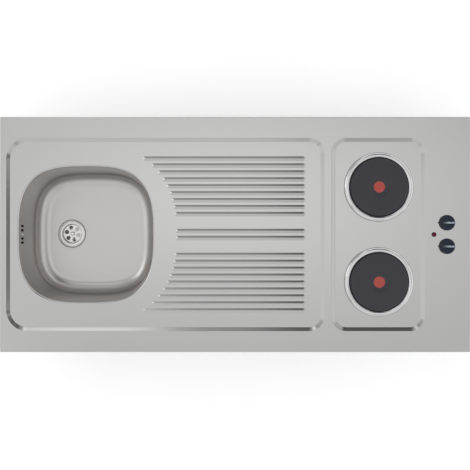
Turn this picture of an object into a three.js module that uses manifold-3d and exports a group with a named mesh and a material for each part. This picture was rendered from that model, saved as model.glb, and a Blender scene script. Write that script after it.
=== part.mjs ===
// Sit-on kitchenette worktop: a pressed stainless steel deck with a welded sink bowl, a ribbed
// drainer and a two-plate electric hob worked by two rotary switches.
// Millimetres, +Z up, front edge towards -Y, sink on the left. The origin is the middle of the
// footprint, on the plane where the deck's return flanges rest on the cabinet.

import * as THREE from 'three';
import { mergeVertices } from 'three/addons/utils/BufferGeometryUtils.js';
import Module from 'manifold-3d';

const wasm = await Module();
wasm.setup();

// ---------------------------------------------------------------- Driving sizes

// Clearances
const SEAT = 0.3; // between two faces that touch
const RUNNING = 0.3; // round a shaft or a stud in its hole
const PASSING = 1.2; // round what drops through a hole or turns over a face
const OVERLAP = 1; // how far a shape reaches past a face that it is cut or joined through

// Deck
const DECK_LENGTH = 1200;
const DECK_WIDTH = 600;
const APRON_HEIGHT = 40;
const DECK_SHEET = 1;
const DECK_CORNER = 4; // corner radius in plan
const DECK_EDGE = 3; // outside radius of the bend between top and apron
const RETURN_FLANGE = 20;
const FLANGE_HOLE_RADIUS = 2.5;
const FLANGE_HOLE_SPACING = 520;

// Recesses pressed into the deck
const PRESS_DEPTH = 4;
const PRESS_RUN = 11; // width of the sloping band
const RECESS_BORDER = 53; // from the deck's front and rear edges
const RECESS_LEFT_CORNER = 55; // the sink recess's two left corners
const RECESS_CORNER = 40; // all other corners
const LEFT_BORDER = 15.5;
const RECESS_DIVIDER = 16;
const HOB_LENGTH = 239.6;
const PANEL_LENGTH = 115.4; // plain strip right of the hob, which carries the knobs

// Bowl
const BOWL_LENGTH = 347;
const BOWL_WIDTH = 351;
const BOWL_SQUARENESS = 3; // power of the superellipse
const BOWL_DEPTH = 150;
const BOWL_BORDER = 29.3; // from the recess edge to the rim
const BOWL_SHEET = 0.8;
const BOWL_DRAFT = THREE.MathUtils.degToRad(5.5);
const BOWL_WELD_LIP = 8;
const RIM_RADIUS = 6;
const BOTTOM_RADIUS = 36;
const FLOOR_FALL = 2;
const PAD_LENGTH = 120;
const PAD_WIDTH = 150;
const PAD_THICKNESS = 3;
const PAD_CORNER = 12;
const PAD_SPACING = 15; // from the pad to the waste

// Drainer ribs
const RIB_WIDTH = 12;
const RIB_HEIGHT = 2.5;
const RIB_RUN = 3.4; // width of the slope up each side
const RIB_PITCH = 17.7;
const RIB_GROUP_START = 52.2; // from the middle of the deck to the first rib of each group
const RIBS_PER_GROUP = 9;
const RIB_END_BORDER = 49; // from the recess edge to the ribs' right ends
const RIB_SWEEP_BORDER = 57; // from the bowl rim to the sweep that the left ends follow
const RIB_SWEEP_SQUARENESS = 2.4;

// Waste
const WASTE_OFFSET = 67; // left of the bowl's centre
const WASTE_HOLE_RADIUS = 28;
const WASTE_DIMPLE_RADIUS = 40;
const WASTE_DIMPLE_DEPTH = 3;
const STRAINER_RADIUS = 35;
const STRAINER_SHEET = 1.2;
const STRAINER_DEPTH = 9;
const STRAINER_BEVEL = 0.6; // at the flange's edge
const STRAINER_CREST = 1.92; // of the flange, above its underside
const STRAINER_HUB_RADIUS = 8;
const STRAINER_HUB_BORDER = 1; // from the hub to the openings
const STRAINER_SPOKE = 5;
const STRAINER_HOLES = 6;
const STRAINER_TURN = THREE.MathUtils.degToRad(45); // of the first hole from +X
const WASTE_SCREW_RADIUS = 3;
const WASTE_SCREW_HEAD_RADIUS = 5.5;
const WASTE_SCREW_HEAD_HEIGHT = 2.6;
const WASTE_SCREW_SLOT = 1.4; // width and depth
const WASTE_SCREW_LENGTH = 26;
const SEAL_THICKNESS = 2;
const WASTE_FLANGE_RADIUS = 38;
const WASTE_FLANGE_THICKNESS = 4;
const WASTE_WALL = 3;
const WASTE_CUP_DEPTH = 26;
const WASTE_CUP_TAPER = 4; // height over which the cup narrows to its outlet
const WASTE_OUTLET_RADIUS = 23.9; // an inch and a half pipe thread
const WASTE_OUTLET_BORE_RADIUS = 19.5;
const WASTE_OUTLET_LENGTH = 26;
const WASTE_HUB_RADIUS = 7;

// Overflow
const OVERFLOW_BELOW_DECK = 27;
const OVERFLOW_SLOT_WIDTH = 6;
const OVERFLOW_SLOT_HEIGHT = 14;
const OVERFLOW_SLOT_PITCH = 10.7;
const OVERFLOW_SCREW_RADIUS = 2;
const OVERFLOW_SCREW_HEAD_RADIUS = 4;
const OVERFLOW_SCREW_HEAD_HEIGHT = 2.1;
const OVERFLOW_SCREW_GRIP = 12; // length of the screw in the head behind the wall
const OVERFLOW_HEAD_WIDTH = 72;
const OVERFLOW_HEAD_HEIGHT = 34;
const OVERFLOW_HEAD_DEPTH = 26;
const OVERFLOW_HEAD_CORNER = 8;
const OVERFLOW_WALL = 4;
const HOSE_RADIUS = 12;
const HOSE_ROOT_RADIUS = 10.6;
const HOSE_BORE_RADIUS = 9;
const HOSE_BEND_RADIUS = 55;
const HOSE_RIB_PITCH = 6;
const HOSE_BORE_STRIDE = 5; // ribs to each ring of points in the bore
const HOSE_SPIGOT = 10;
const HOSE_CUFF = 2 * HOSE_RADIUS; // smooth straight end, one diameter long
const HOSE_NUT_WALL = 3.5;
const HOSE_NUT_LENGTH = 15;

// Hotplates
const PLATE_SPACING = 242;
const PLATE_SHIFT = 2.2; // right of the recess's middle
const PLATE_RADIUS = 73.5;
const PLATE_RISE = 11; // iron top above the recess floor
const PLATE_BODY_DEPTH = 18;
const PLATE_BODY_STEP = 1; // from the top's radius in to the body's
const PLATE_CHAMFER = 2;
const PLATE_LEDGE = 2.3;
const PLATE_LEDGE_THICKNESS = 3;
const PLATE_DIMPLE_RADIUS = 26.5;
const PLATE_DIMPLE_DEPTH = 1.2;
const PLATE_DIMPLE_RUN = 1; // width of the dimple's slope
const PLATE_STUD_RADIUS = 4;
const PLATE_STUD_LENGTH = 21;
const PLATE_HOLE_RADIUS = 77;
const PLATE_COLLAR_WIDTH = 5;
const PLATE_COLLAR_RUN = 3;
const PLATE_COLLAR_HEIGHT = 3;
const RING_RADIUS = 88.5;
const RING_GAP = 1; // between iron and ring
const RING_CREST = 8; // above the recess floor
const RING_SHEET = 0.8;
const RING_SEAL_WIDTH = 4;
const RING_SEAL_THICKNESS = 1;
const BASE_RADIUS = 68;
const BASE_DEPTH = 9;
const BASE_CHAMFER = 3;
const BASE_SHEET = 0.7;
const CLAMP_PAD = 9;
const CLAMP_WIDTH = 24;
const CLAMP_SHEET = 2;
const CLAMP_SLOPE_RUN = 5;
const CLAMP_CLEARANCE = 1.5; // between the clamp and the coil cover above it
const NUT_THICKNESS = 5;
const NUT_ACROSS_FLATS = 13;
const BLOCK_LENGTH = 30;
const BLOCK_WIDTH = 18;
const BLOCK_HEIGHT = 12;
const BLOCK_CORNER = 2;
const BLOCK_PITCH = 8.6; // between the block's screws
const BLOCK_SHIFT_X = 38;
const BLOCK_SHIFT_Y = 30;
const BLOCK_SCREW_RADIUS = 2.2;
const BLOCK_SCREW_DEPTH = 6;

// Knobs and switches
const KNOB_SPACING = 60;
const KNOB_EDGE = 60; // from the deck's right edge
const KNOB_RADIUS = 20;
const KNOB_SKIRT_HEIGHT = 10;
const KNOB_WALL = 2;
const KNOB_DRAW = 1; // by which the hollow narrows towards its top
const KNOB_SHOULDER = 3.5; // from the flat top out to the skirt
const KNOB_SHOULDER_RISE = 1.5;
const KNOB_FLARE_RISE = 6.5;
const KNOB_GRIP_BORDER = 4.5; // from the skirt's edge to the grip's two ends
const KNOB_GRIP_WIDTH = 9; // at its foot
const KNOB_GRIP_CREST = 4.6; // width at the highest point
const KNOB_GRIP_RISE = 11; // highest point above the skirt
const KNOB_GRIP_CURVE = 1.6; // power of the curve up to the highest point
const KNOB_GRIP_TAIL = 4; // run of the steep end behind the highest point
const KNOB_POINTER_RADIUS = 2; // of the round nub that points
const KNOB_POINTER = 2.3; // beyond the skirt
const KNOB_HUB_RADIUS = 7;
const KNOB_HUB_LIFT = 2; // hub above the skirt's lower edge
const SHAFT_RADIUS = 3;
const SHAFT_FLAT = 1;
const SHAFT_GRIP = 12; // length of the shaft in the knob
const SHAFT_IN_SWITCH = 24;
const SWITCH_SIZE = 42;
const SWITCH_HEIGHT = 34;
const SWITCH_CORNER = 4;
const SWITCH_POCKET_LENGTH = 16; // three pockets for terminals in the lower face
const SWITCH_POCKET_WIDTH = 6;
const SWITCH_POCKET_PITCH = 12;
const SWITCH_POCKET_DEPTH = 3;
const SWITCH_SCREW_SPACING = 22;
const SWITCH_SCREW_RADIUS = 1.7;
const SWITCH_SCREW_HEAD_RADIUS = 3.2;
const SWITCH_SCREW_HEAD_HEIGHT = 1.8;
const SWITCH_SCREW_LENGTH = 10;
const GASKET_RADIUS = 6.8;
const GASKET_THICKNESS = 1.2;

// Pilot lamp
const LAMP_EDGE = 92.7; // from the deck's right edge
const LAMP_RADIUS = 4.8;
const LAMP_LENS_HEIGHT = 3.2;
const LAMP_LENS_EDGE = 0.6; // straight edge under the lens's dome
const LAMP_BODY_RADIUS = 4;
const LAMP_BODY_LENGTH = 24;
const LAMP_BEZEL_RADIUS = 6.2;
const LAMP_BEZEL_THICKNESS = 0.8;

// Pan under the hob
const PAN_SHEET = 0.8;
const PAN_LEFT_MARGIN = 25; // from the recess edge to the pan's left wall
const PAN_RIGHT_MARGIN = 25; // from the deck's right edge to the pan's right wall
const PAN_WIDTH = 406;
const PAN_CORNER = 12;
const PAN_BELOW = 22; // pan floor below the return flanges
const PAN_BEND = 4;
const PAN_FLANGE = 12;
const PAN_STUD_SPACING = 300;
const PAN_STUD_BORDER = 20; // from a stud to the end of the pan's flange
const PAN_STUD_RADIUS = 2;
const PAN_STUD_LENGTH = 12;
const PAN_NUT_THICKNESS = 3.2;
const PAN_NUT_ACROSS_FLATS = 7;
const VENT_LENGTH = 40;
const VENT_WIDTH = 5;
const VENT_PITCH_X = 60;
const VENT_PITCH_Y = 14;
const VENT_COLUMNS = 3;
const VENT_ROWS = 3;

// Supply connection
const TERMINAL_LENGTH = 46;
const TERMINAL_WIDTH = 24;
const TERMINAL_HEIGHT = 20;
const TERMINAL_PITCH = 13; // between the terminal's screws
const TERMINAL_SHIFT = 65; // right of the hotplates' centre line
const TERMINAL_BORDER = 30; // from the pan's rear wall
const GLAND_BORE_RADIUS = 5;
const GLAND_THREAD_RADIUS = 8;
const GLAND_ACROSS_FLATS = 22;
const GLAND_HEX_LENGTH = 8;
const GLAND_CAP_RADIUS = 10;
const GLAND_CAP_LENGTH = 12;
const GLAND_CAP_STRAIGHT = 8;
const GLAND_CAP_LIP = 2; // round the bore at the cap's end
const GLAND_INSIDE_LENGTH = 9;
const GLAND_HEIGHT = 26; // above the pan floor
const LEAD_RADIUS = 2.5;
const LEAD_HEIGHT = 12; // above the switch's lower face
const LEAD_STRAIGHT = 14; // straight part where a lead enters a terminal
const LEAD_BEND = 20;
const LEAD_SAG = 6;

// Stiffeners
const STIFFENER_SHEET = 1.2;
const STIFFENER_DEPTH = 24;
const STIFFENER_CROWN = 16;
const STIFFENER_FOOT = 8;
const STIFFENER_END_GAP = 25; // from the deck's side aprons
const MEMBER_CROWN = 12;
const MEMBER_DEPTH = 28;
const MEMBER_END_GAP = 3; // inside the recess's width

// Facets on the round pieces
const COARSE = 8; // screws and their holes
const MEDIUM = 16; // up to about 30 mm across
const FINE = 24; // up to about 80 mm across
const LARGE = 32; // hotplates
const BOWL_POINTS = 40;
const HOSE_POINTS = 8;

// ---------------------------------------------------------------- Shared places

const deckTop = APRON_HEIGHT;
const deckUnder = deckTop - DECK_SHEET;
const floorTop = deckTop - PRESS_DEPTH;
const floorUnder = floorTop - DECK_SHEET;
const deckRight = DECK_LENGTH / 2;
const deckRear = DECK_WIDTH / 2;
const recessRear = deckRear - RECESS_BORDER;
const sinkLeft = LEFT_BORDER - deckRight;
const hobRight = deckRight - PANEL_LENGTH;
const hobLeft = hobRight - HOB_LENGTH;
const sinkRight = hobLeft - RECESS_DIVIDER;
const hobX = (hobLeft + hobRight) / 2;
const bowlX = sinkLeft + BOWL_BORDER + BOWL_LENGTH / 2;
const wasteX = bowlX - WASTE_OFFSET;
const plateX = hobX + PLATE_SHIFT;
const plateTop = floorTop + PLATE_RISE;
const plateUnder = plateTop - PLATE_BODY_DEPTH;
const baseUnder = plateUnder - SEAT - BASE_DEPTH;
const clampUnder = baseUnder - CLAMP_CLEARANCE - CLAMP_SHEET;
const knobX = deckRight - KNOB_EDGE;
const knobLow = deckTop + PASSING;
const switchTop = deckUnder - SEAT;
const switchUnder = switchTop - SWITCH_HEIGHT;
const lampX = deckRight - LAMP_EDGE;
const panLeft = hobLeft + PAN_LEFT_MARGIN;
const panRight = deckRight - PAN_RIGHT_MARGIN;
const panRear = PAN_WIDTH / 2;
const panFloor = -PAN_BELOW;
const panTop = switchTop;

// ---------------------------------------------------------------- Outlines

/** A circle of points, anticlockwise. */
function circle(radius, points, x = 0, y = 0) {
  return Array.from({ length: points }, (_, i) => {
    const angle = (2 * Math.PI * i) / points;
    return new THREE.Vector2(x + radius * Math.cos(angle), y + radius * Math.sin(angle));
  });
}

/** The outline of a hole whose flats all clear a bar of the given radius. */
function hole(radius, points, x = 0, y = 0) {
  return circle(radius / Math.cos(Math.PI / points), points, x, y);
}

/** A hexagon with the given distance between opposite sides. */
function hexagon(acrossFlats) {
  return circle(acrossFlats / Math.sqrt(3), 6);
}

/** A rectangle with round corners, anticlockwise from its right-hand side. */
function roundedRectangle(x, y, length, width, corner, leftCorner = corner, steps = 3) {
  const points = [];
  const quarters = [[1, 1], [-1, 1], [-1, -1], [1, -1]];
  quarters.forEach(([sideX, sideY], quarter) => {
    const radius = sideX < 0 ? leftCorner : corner;
    for (let step = 0; step <= steps; step++) {
      const angle = ((quarter + step / steps) * Math.PI) / 2;
      points.push(new THREE.Vector2(
        x + sideX * (length / 2 - radius) + radius * Math.cos(angle),
        y + sideY * (width / 2 - radius) + radius * Math.sin(angle),
      ));
    }
  });
  return points;
}

/** A plain rectangle between two corners. */
function rectangle(x0, y0, x1, y1) {
  return [[x0, y0], [x1, y0], [x1, y1], [x0, y1]].map(([x, y]) => new THREE.Vector2(x, y));
}

/** A bar with round ends along X, between its two tips. */
function stadium(x0, x1, y, width, steps = 3) {
  const radius = width / 2;
  const points = [];
  [x1 - radius, x0 + radius].forEach((centre, end) => {
    for (let step = 0; step <= steps; step++) {
      const angle = (end - 0.5 + step / steps) * Math.PI;
      points.push(new THREE.Vector2(
        centre + radius * Math.cos(angle),
        y + radius * Math.sin(angle),
      ));
    }
  });
  return points;
}

/** A squared-off ellipse, anticlockwise. */
function superellipse(x, y, length, width, power, points) {
  const bulge = (value) => Math.sign(value) * Math.abs(value) ** (2 / power);
  return circle(1, points).map((point) => new THREE.Vector2(
    x + (length / 2) * bulge(point.x),
    y + (width / 2) * bulge(point.y),
  ));
}

/** The corner of an offset line: `point` moved to the left of the way from `before` to `after`. */
function mitred(before, point, after, distance) {
  const arriving = point.clone().sub(before).normalize();
  const leaving = after.clone().sub(point).normalize();
  const normal = new THREE.Vector2(-arriving.y - leaving.y, arriving.x + leaving.x).normalize();
  const half = normal.x * -arriving.y + normal.y * arriving.x;
  return point.clone().addScaledVector(normal, distance / half);
}

/** An anticlockwise outline drawn in by `distance`, or let out where it is negative. */
function inset(outline, distance) {
  return outline.map((point, i) => mitred(
    outline.at(i - 1), point, outline[(i + 1) % outline.length], distance,
  ));
}

/** A strip of sheet along an open line, its thickness laid to the line's left. */
function strip(line, thickness) {
  const far = line.map((point, i) => {
    const before = line[i - 1] ?? point.clone().multiplyScalar(2).sub(line[i + 1]);
    const after = line[i + 1] ?? point.clone().multiplyScalar(2).sub(line[i - 1]);
    return mitred(before, point, after, thickness);
  });
  return [...line, ...far.reverse()];
}

/** Vector2 points from pairs. */
function line(...pairs) {
  return pairs.map(([a, b]) => new THREE.Vector2(a, b));
}

// ---------------------------------------------------------------- Solids

/** Merged vertices, no empty triangles, faces outwards. */
function closed(geometry) {
  const bare = new THREE.BufferGeometry();
  bare.setAttribute('position', geometry.getAttribute('position'));
  bare.setIndex(geometry.getIndex());
  const merged = mergeVertices(bare, 1e-4);
  const position = merged.getAttribute('position');
  const index = merged.getIndex().array;
  const kept = [];
  let volume = 0;
  const corners = [new THREE.Vector3(), new THREE.Vector3(), new THREE.Vector3()];
  for (let i = 0; i < index.length; i += 3) {
    const [a, b, c] = [index[i], index[i + 1], index[i + 2]];
    if (a !== b && b !== c && c !== a) {
      kept.push(a, b, c);
      [a, b, c].forEach((vertex, k) => corners[k].fromBufferAttribute(position, vertex));
      volume += corners[0].dot(corners[1].cross(corners[2]));
    }
  }
  merged.setIndex(volume < 0 ? kept.reverse() : kept);
  return merged;
}

/** A solid through rings of equally many points, capped at both ends or joined end to end. */
function loft(rings, endToEnd = false) {
  const count = rings[0].outline.length;
  const vertices = rings.flatMap(({ outline, z }) => outline.flatMap(({ x, y }) => [x, y, z]));
  const triangles = [];
  const bands = endToEnd ? rings.length : rings.length - 1;
  for (let band = 0; band < bands; band++) {
    const low = band * count;
    const high = ((band + 1) % rings.length) * count;
    for (let i = 0; i < count; i++) {
      const next = (i + 1) % count;
      triangles.push(low + i, low + next, high + next, low + i, high + next, high + i);
    }
  }
  if (!endToEnd) {
    const last = (rings.length - 1) * count;
    for (const [a, b, c] of THREE.ShapeUtils.triangulateShape(rings[0].outline, [])) {
      triangles.push(c, b, a);
    }
    for (const [a, b, c] of THREE.ShapeUtils.triangulateShape(rings.at(-1).outline, [])) {
      triangles.push(last + a, last + b, last + c);
    }
  }
  const geometry = new THREE.BufferGeometry();
  geometry.setAttribute('position', new THREE.Float32BufferAttribute(vertices, 3));
  geometry.setIndex(triangles);
  return closed(geometry);
}

/** An outline, with any holes, between two heights. */
function prism(outline, low, high, holes = []) {
  const shape = new THREE.Shape(outline);
  shape.holes = holes.map((hole) => new THREE.Path(hole));
  const geometry = new THREE.ExtrudeGeometry(shape, { depth: high - low, bevelEnabled: false });
  return closed(geometry.translate(0, 0, low));
}

/** A profile of radius and height turned about the Z axis. */
function turned(profile, segments) {
  const points = profile.map(([radius, z]) => new THREE.Vector2(radius, z));
  return closed(new THREE.LatheGeometry(points, segments).rotateX(Math.PI / 2));
}

/** A washer, tube or plain ring. */
function ring(inner, outer, low, high, segments) {
  const profile = [[inner, low], [outer, low], [outer, high], [inner, high], [inner, low]];
  return turned(profile, segments);
}

/** A cylinder. */
function rod(radius, low, high, segments) {
  return prism(circle(radius, segments), low, high);
}

/** The waste of a drilled hole. */
function drilled(radius, low, high, points) {
  return prism(hole(radius, points), low, high);
}

/** A pan-head screw whose head's underside is at the height `seat`. */
function panHeadScrew(radius, length, headRadius, headHeight, seat, segments) {
  const edge = 0.4; // share of the head's height that is straight
  const crown = 0.6; // share of its radius that is flat
  return turned([
    [0, seat - length],
    [radius, seat - length],
    [radius, seat],
    [headRadius, seat],
    [headRadius, seat + edge * headHeight],
    [crown * headRadius, seat + headHeight],
    [0, seat + headHeight],
  ], segments);
}

/** Turns a prism's own X, Y and Z into the three given directions. */
function along(geometry, x, y, z) {
  const axes = { X: [1, 0, 0], Y: [0, 1, 0], Z: [0, 0, 1] };
  const columns = [x, y, z].map((name) => new THREE.Vector3(...axes[name]));
  return closed(geometry.applyMatrix4(new THREE.Matrix4().makeBasis(...columns)));
}

/** A closed geometry as a solid that can be joined and cut. */
function solid(geometry) {
  return new wasm.Manifold(new wasm.Mesh({
    numProp: 3,
    vertProperties: new Float32Array(geometry.getAttribute('position').array),
    triVerts: new Uint32Array(geometry.getIndex().array),
  }));
}

/** A joined or cut solid as a geometry again. */
function shape(body) {
  const mesh = body.getMesh();
  const geometry = new THREE.BufferGeometry();
  const position = new THREE.BufferAttribute(new Float32Array(mesh.vertProperties), 3);
  geometry.setAttribute('position', position);
  geometry.setIndex(new THREE.BufferAttribute(new Uint32Array(mesh.triVerts), 1));
  return geometry;
}

/** One geometry with others cut out of it. */
function cut(geometry, ...tools) {
  return shape(tools.reduce((body, tool) => body.subtract(solid(tool)), solid(geometry)));
}

/** Several geometries as one. */
function joined(first, ...others) {
  return shape(others.reduce((body, other) => body.add(solid(other)), solid(first)));
}

/** A copy of a geometry, moved. */
function moved(geometry, x, y, z = 0) {
  return geometry.clone().translate(x, y, z);
}

// ---------------------------------------------------------------- Materials

/** A surface by its colour, roughness and whether it is metal. */
function finish(colour, roughness, metalness = 0) {
  return new THREE.MeshStandardMaterial({ color: colour, roughness, metalness });
}

const FINISHES = {
  deckSteel: finish(0xb8b8b8, 0.35, 1),
  bowlSteel: finish(0xada8a4, 0.4, 1),
  chrome: finish(0xe4e4e6, 0.1, 1),
  zincSteel: finish(0x9a9da0, 0.45, 1),
  castIron: finish(0x3a3a3f, 0.6, 0.3),
  knobPlastic: finish(0x1e2632, 0.3),
  lampPlastic: finish(0x6e1424, 0.2),
  whitePlastic: finish(0xd8d8d4, 0.5),
  greyPlastic: finish(0x8c8f92, 0.5),
  blackPlastic: finish(0x26262a, 0.5),
  ceramic: finish(0xe6e0d2, 0.6),
  rubber: finish(0x1c1c1e, 0.85),
  padding: finish(0x3c3a38, 0.9),
};

const unit = new THREE.Group();

/** Puts a named piece on the unit, or in one of its groups. */
function place(name, geometry, material, parent = unit) {
  const mesh = new THREE.Mesh(geometry, FINISHES[material].clone());
  mesh.geometry.computeVertexNormals();
  mesh.name = name;
  parent.add(mesh);
  return mesh;
}

/** A group at a place, for pieces that are drawn about their own centre. */
function groupAt(x, y, z = 0) {
  const group = new THREE.Group();
  group.position.set(x, y, z);
  unit.add(group);
  return group;
}

// ---------------------------------------------------------------- Bowl

const bowlRim = superellipse(bowlX, 0, BOWL_LENGTH, BOWL_WIDTH, BOWL_SQUARENESS, BOWL_POINTS);
const bowlWeld = RIM_RADIUS / 2 + BOWL_WELD_LIP; // from the rim out to the welded edge
const steep = Math.PI / 2 - BOWL_DRAFT;
const bowlFloor = floorTop - BOWL_DEPTH;
const dimpleFloor = bowlFloor - WASTE_DIMPLE_DEPTH;
const rimEnd = {
  inset: RIM_RADIUS * (Math.sin(steep) - 0.5),
  z: floorTop - RIM_RADIUS * (1 - Math.cos(steep)),
};
const filletStartZ = bowlFloor + FLOOR_FALL + BOTTOM_RADIUS * (1 - Math.cos(steep));

/** How far the bowl's inner wall is inside the rim at a height on its straight part. */
function wallInset(z) {
  return rimEnd.inset + (rimEnd.z - z) * Math.tan(BOWL_DRAFT);
}

/** The bowl's section from its welded edge to its floor: place, and tilt from the level. */
function bowlSection() {
  const rimSteps = 3;
  const filletSteps = 4;
  const section = [{ inset: -bowlWeld, z: floorTop, tilt: 0 }];
  for (let step = 0; step <= rimSteps; step++) {
    const tilt = (steep * step) / rimSteps;
    section.push({
      inset: RIM_RADIUS * (Math.sin(tilt) - 0.5),
      z: floorTop - RIM_RADIUS * (1 - Math.cos(tilt)),
      tilt,
    });
  }
  for (let step = filletSteps; step >= 0; step--) {
    const tilt = (steep * step) / filletSteps;
    section.push({
      inset: wallInset(filletStartZ) + BOTTOM_RADIUS * (Math.sin(steep) - Math.sin(tilt)),
      z: bowlFloor + FLOOR_FALL + BOTTOM_RADIUS * (1 - Math.cos(tilt)),
      tilt,
    });
  }
  return section;
}

/** The bowl's surface, moved outwards by `depth`, as rings from its welded edge to its waste hole. */
function bowlRings(depth) {
  const walls = bowlSection().map(({ inset: drawnIn, z, tilt }) => ({
    outline: inset(bowlRim, drawnIn - depth * Math.sin(tilt)),
    z: z - depth * Math.cos(tilt),
  }));
  const dimple = [
    [WASTE_DIMPLE_RADIUS + WASTE_DIMPLE_DEPTH, bowlFloor],
    [WASTE_DIMPLE_RADIUS, dimpleFloor],
    [WASTE_HOLE_RADIUS, dimpleFloor],
  ].map(([radius, z]) => ({ outline: circle(radius, BOWL_POINTS, wasteX), z: z - depth }));
  return [...walls, ...dimple];
}

/** A layer between two depths behind the bowl's inner surface. */
function bowlLayer(near, far) {
  return loft([...bowlRings(near), ...bowlRings(far).reverse()], true);
}

// The overflow's own frame sits on the bowl's left wall: X up the wall, Z out of the bowl.
const overflowZ = floorTop - OVERFLOW_BELOW_DECK;
const overflowX = bowlX - BOWL_LENGTH / 2 + wallInset(overflowZ);
const overflowFrame = new THREE.Matrix4()
  .makeRotationY(-Math.PI / 2 - BOWL_DRAFT)
  .setPosition(overflowX, 0, overflowZ);

/** Stands a geometry drawn in the overflow's frame on the bowl's wall. */
function onWall(geometry) {
  return closed(geometry.applyMatrix4(overflowFrame));
}

/** The overflow's slots, two each side of its screw, as outlines in its own frame. */
function overflowSlots() {
  return [-2, -1, 1, 2].map((place) => stadium(
    -OVERFLOW_SLOT_HEIGHT / 2,
    OVERFLOW_SLOT_HEIGHT / 2,
    place * OVERFLOW_SLOT_PITCH,
    OVERFLOW_SLOT_WIDTH,
  ));
}

function makeBowl() {
  const reach = 5 * BOWL_SHEET; // the wall curves a little across the row of slots
  const holes = [...overflowSlots(), hole(OVERFLOW_SCREW_RADIUS + RUNNING, COARSE)];
  const tools = holes.map((outline) => onWall(prism(outline, -reach, reach)));
  place('bowl', cut(bowlLayer(0, BOWL_SHEET), ...tools), 'bowlSteel');

  const padLeft = wasteX + WASTE_DIMPLE_RADIUS + PAD_SPACING;
  const padOutline = roundedRectangle(
    padLeft + PAD_LENGTH / 2, 0, PAD_LENGTH, PAD_WIDTH, PAD_CORNER,
  );
  const padTop = BOWL_SHEET + SEAT;
  const padLayer = solid(bowlLayer(padTop, padTop + PAD_THICKNESS));
  const column = prism(padOutline, bowlFloor - 4 * PAD_THICKNESS, bowlFloor + 4 * PAD_THICKNESS);
  place('bowl_sound_pad', shape(padLayer.intersect(solid(column))), 'padding');
}

// ---------------------------------------------------------------- Deck

/** A line of distances inwards and heights, offset downwards by the sheet's thickness. */
function undersideOf(section) {
  const level = new THREE.Vector2(1, 0);
  return section.map((point, i) => mitred(
    section[i - 1] ?? point.clone().sub(level),
    point,
    section[i + 1] ?? point.clone().add(level),
    -DECK_SHEET,
  ));
}

/** A sheet pressed inside an outline, by a section of distances inwards and heights. */
function pressed(sheet, outlines, level, section) {
  const down = section.at(-1).y < 0;
  const lowered = undersideOf(section);
  const margin = DECK_SHEET / 2;
  for (const outline of outlines) {
    const rings = (points, extra) => [
      { outline: inset(outline, points[0].x), z: level + points[0].y + extra },
      ...points.map(({ x, y }) => ({ outline: inset(outline, x), z: level + y })),
    ];
    const over = solid(loft(rings(section, down ? margin : -margin)));
    const under = solid(loft(rings(lowered, down ? margin : -margin)));
    sheet = down ? sheet.add(under).subtract(over) : sheet.add(over).subtract(under);
  }
  return sheet;
}

/** The plain deck: top, aprons and return flanges with their screw holes. */
function deckShell() {
  const bendSteps = 3;
  const outline = roundedRectangle(0, 0, DECK_LENGTH, DECK_WIDTH, DECK_CORNER);
  const bendZ = deckTop - DECK_EDGE;
  const body = (depth) => {
    const rings = [{ outline: inset(outline, depth), z: depth }];
    for (let step = 0; step <= bendSteps; step++) {
      const angle = (step / bendSteps) * (Math.PI / 2);
      const radius = DECK_EDGE - depth;
      rings.push({
        outline: inset(outline, depth + radius * (1 - Math.cos(angle))),
        z: bendZ + radius * Math.sin(angle),
      });
    }
    return loft(rings);
  };
  const mouth = prism(
    rectangle(
      RETURN_FLANGE - deckRight,
      RETURN_FLANGE - deckRear,
      deckRight - RETURN_FLANGE,
      deckRear - RETURN_FLANGE,
    ),
    -DECK_SHEET,
    2 * DECK_SHEET,
  );
  const holeY = deckRear - RETURN_FLANGE / 2;
  const holes = [-1, 0, 1].flatMap((column) => [-1, 1].map((side) => moved(
    drilled(FLANGE_HOLE_RADIUS, -DECK_SHEET, 2 * DECK_SHEET, COARSE),
    column * FLANGE_HOLE_SPACING,
    side * holeY,
  )));
  return cut(body(0), body(DECK_SHEET), mouth, ...holes);
}

/** Outlines of the drainer's ribs, whose left ends follow a sweep round the bowl. */
function ribOutlines() {
  const rows = [RIB_PITCH / 2];
  for (let rib = 0; rib < RIBS_PER_GROUP; rib++) {
    rows.push(RIB_GROUP_START + rib * RIB_PITCH);
  }
  const sweep = BOWL_LENGTH / 2 + RIB_SWEEP_BORDER;
  return rows.flatMap((row) => {
    const fraction = 1 - Math.min(row / sweep, 1) ** RIB_SWEEP_SQUARENESS;
    const left = bowlX + sweep * fraction ** (1 / RIB_SWEEP_SQUARENESS);
    return [-row, row].map((y) => stadium(left, sinkRight - RIB_END_BORDER, y, RIB_WIDTH));
  });
}

/** Where the studs that carry the pan stand, and the height of the sheet they are welded to. */
function panStuds() {
  return [[-1, panLeft - PAN_FLANGE / 2, floorUnder], [1, panRight + PAN_FLANGE / 2, deckUnder]]
    .flatMap(([column, x, z]) => [-1, 1].map((side) => ({
      column, x, y: (side * PAN_STUD_SPACING) / 2, z,
    })));
}

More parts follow.
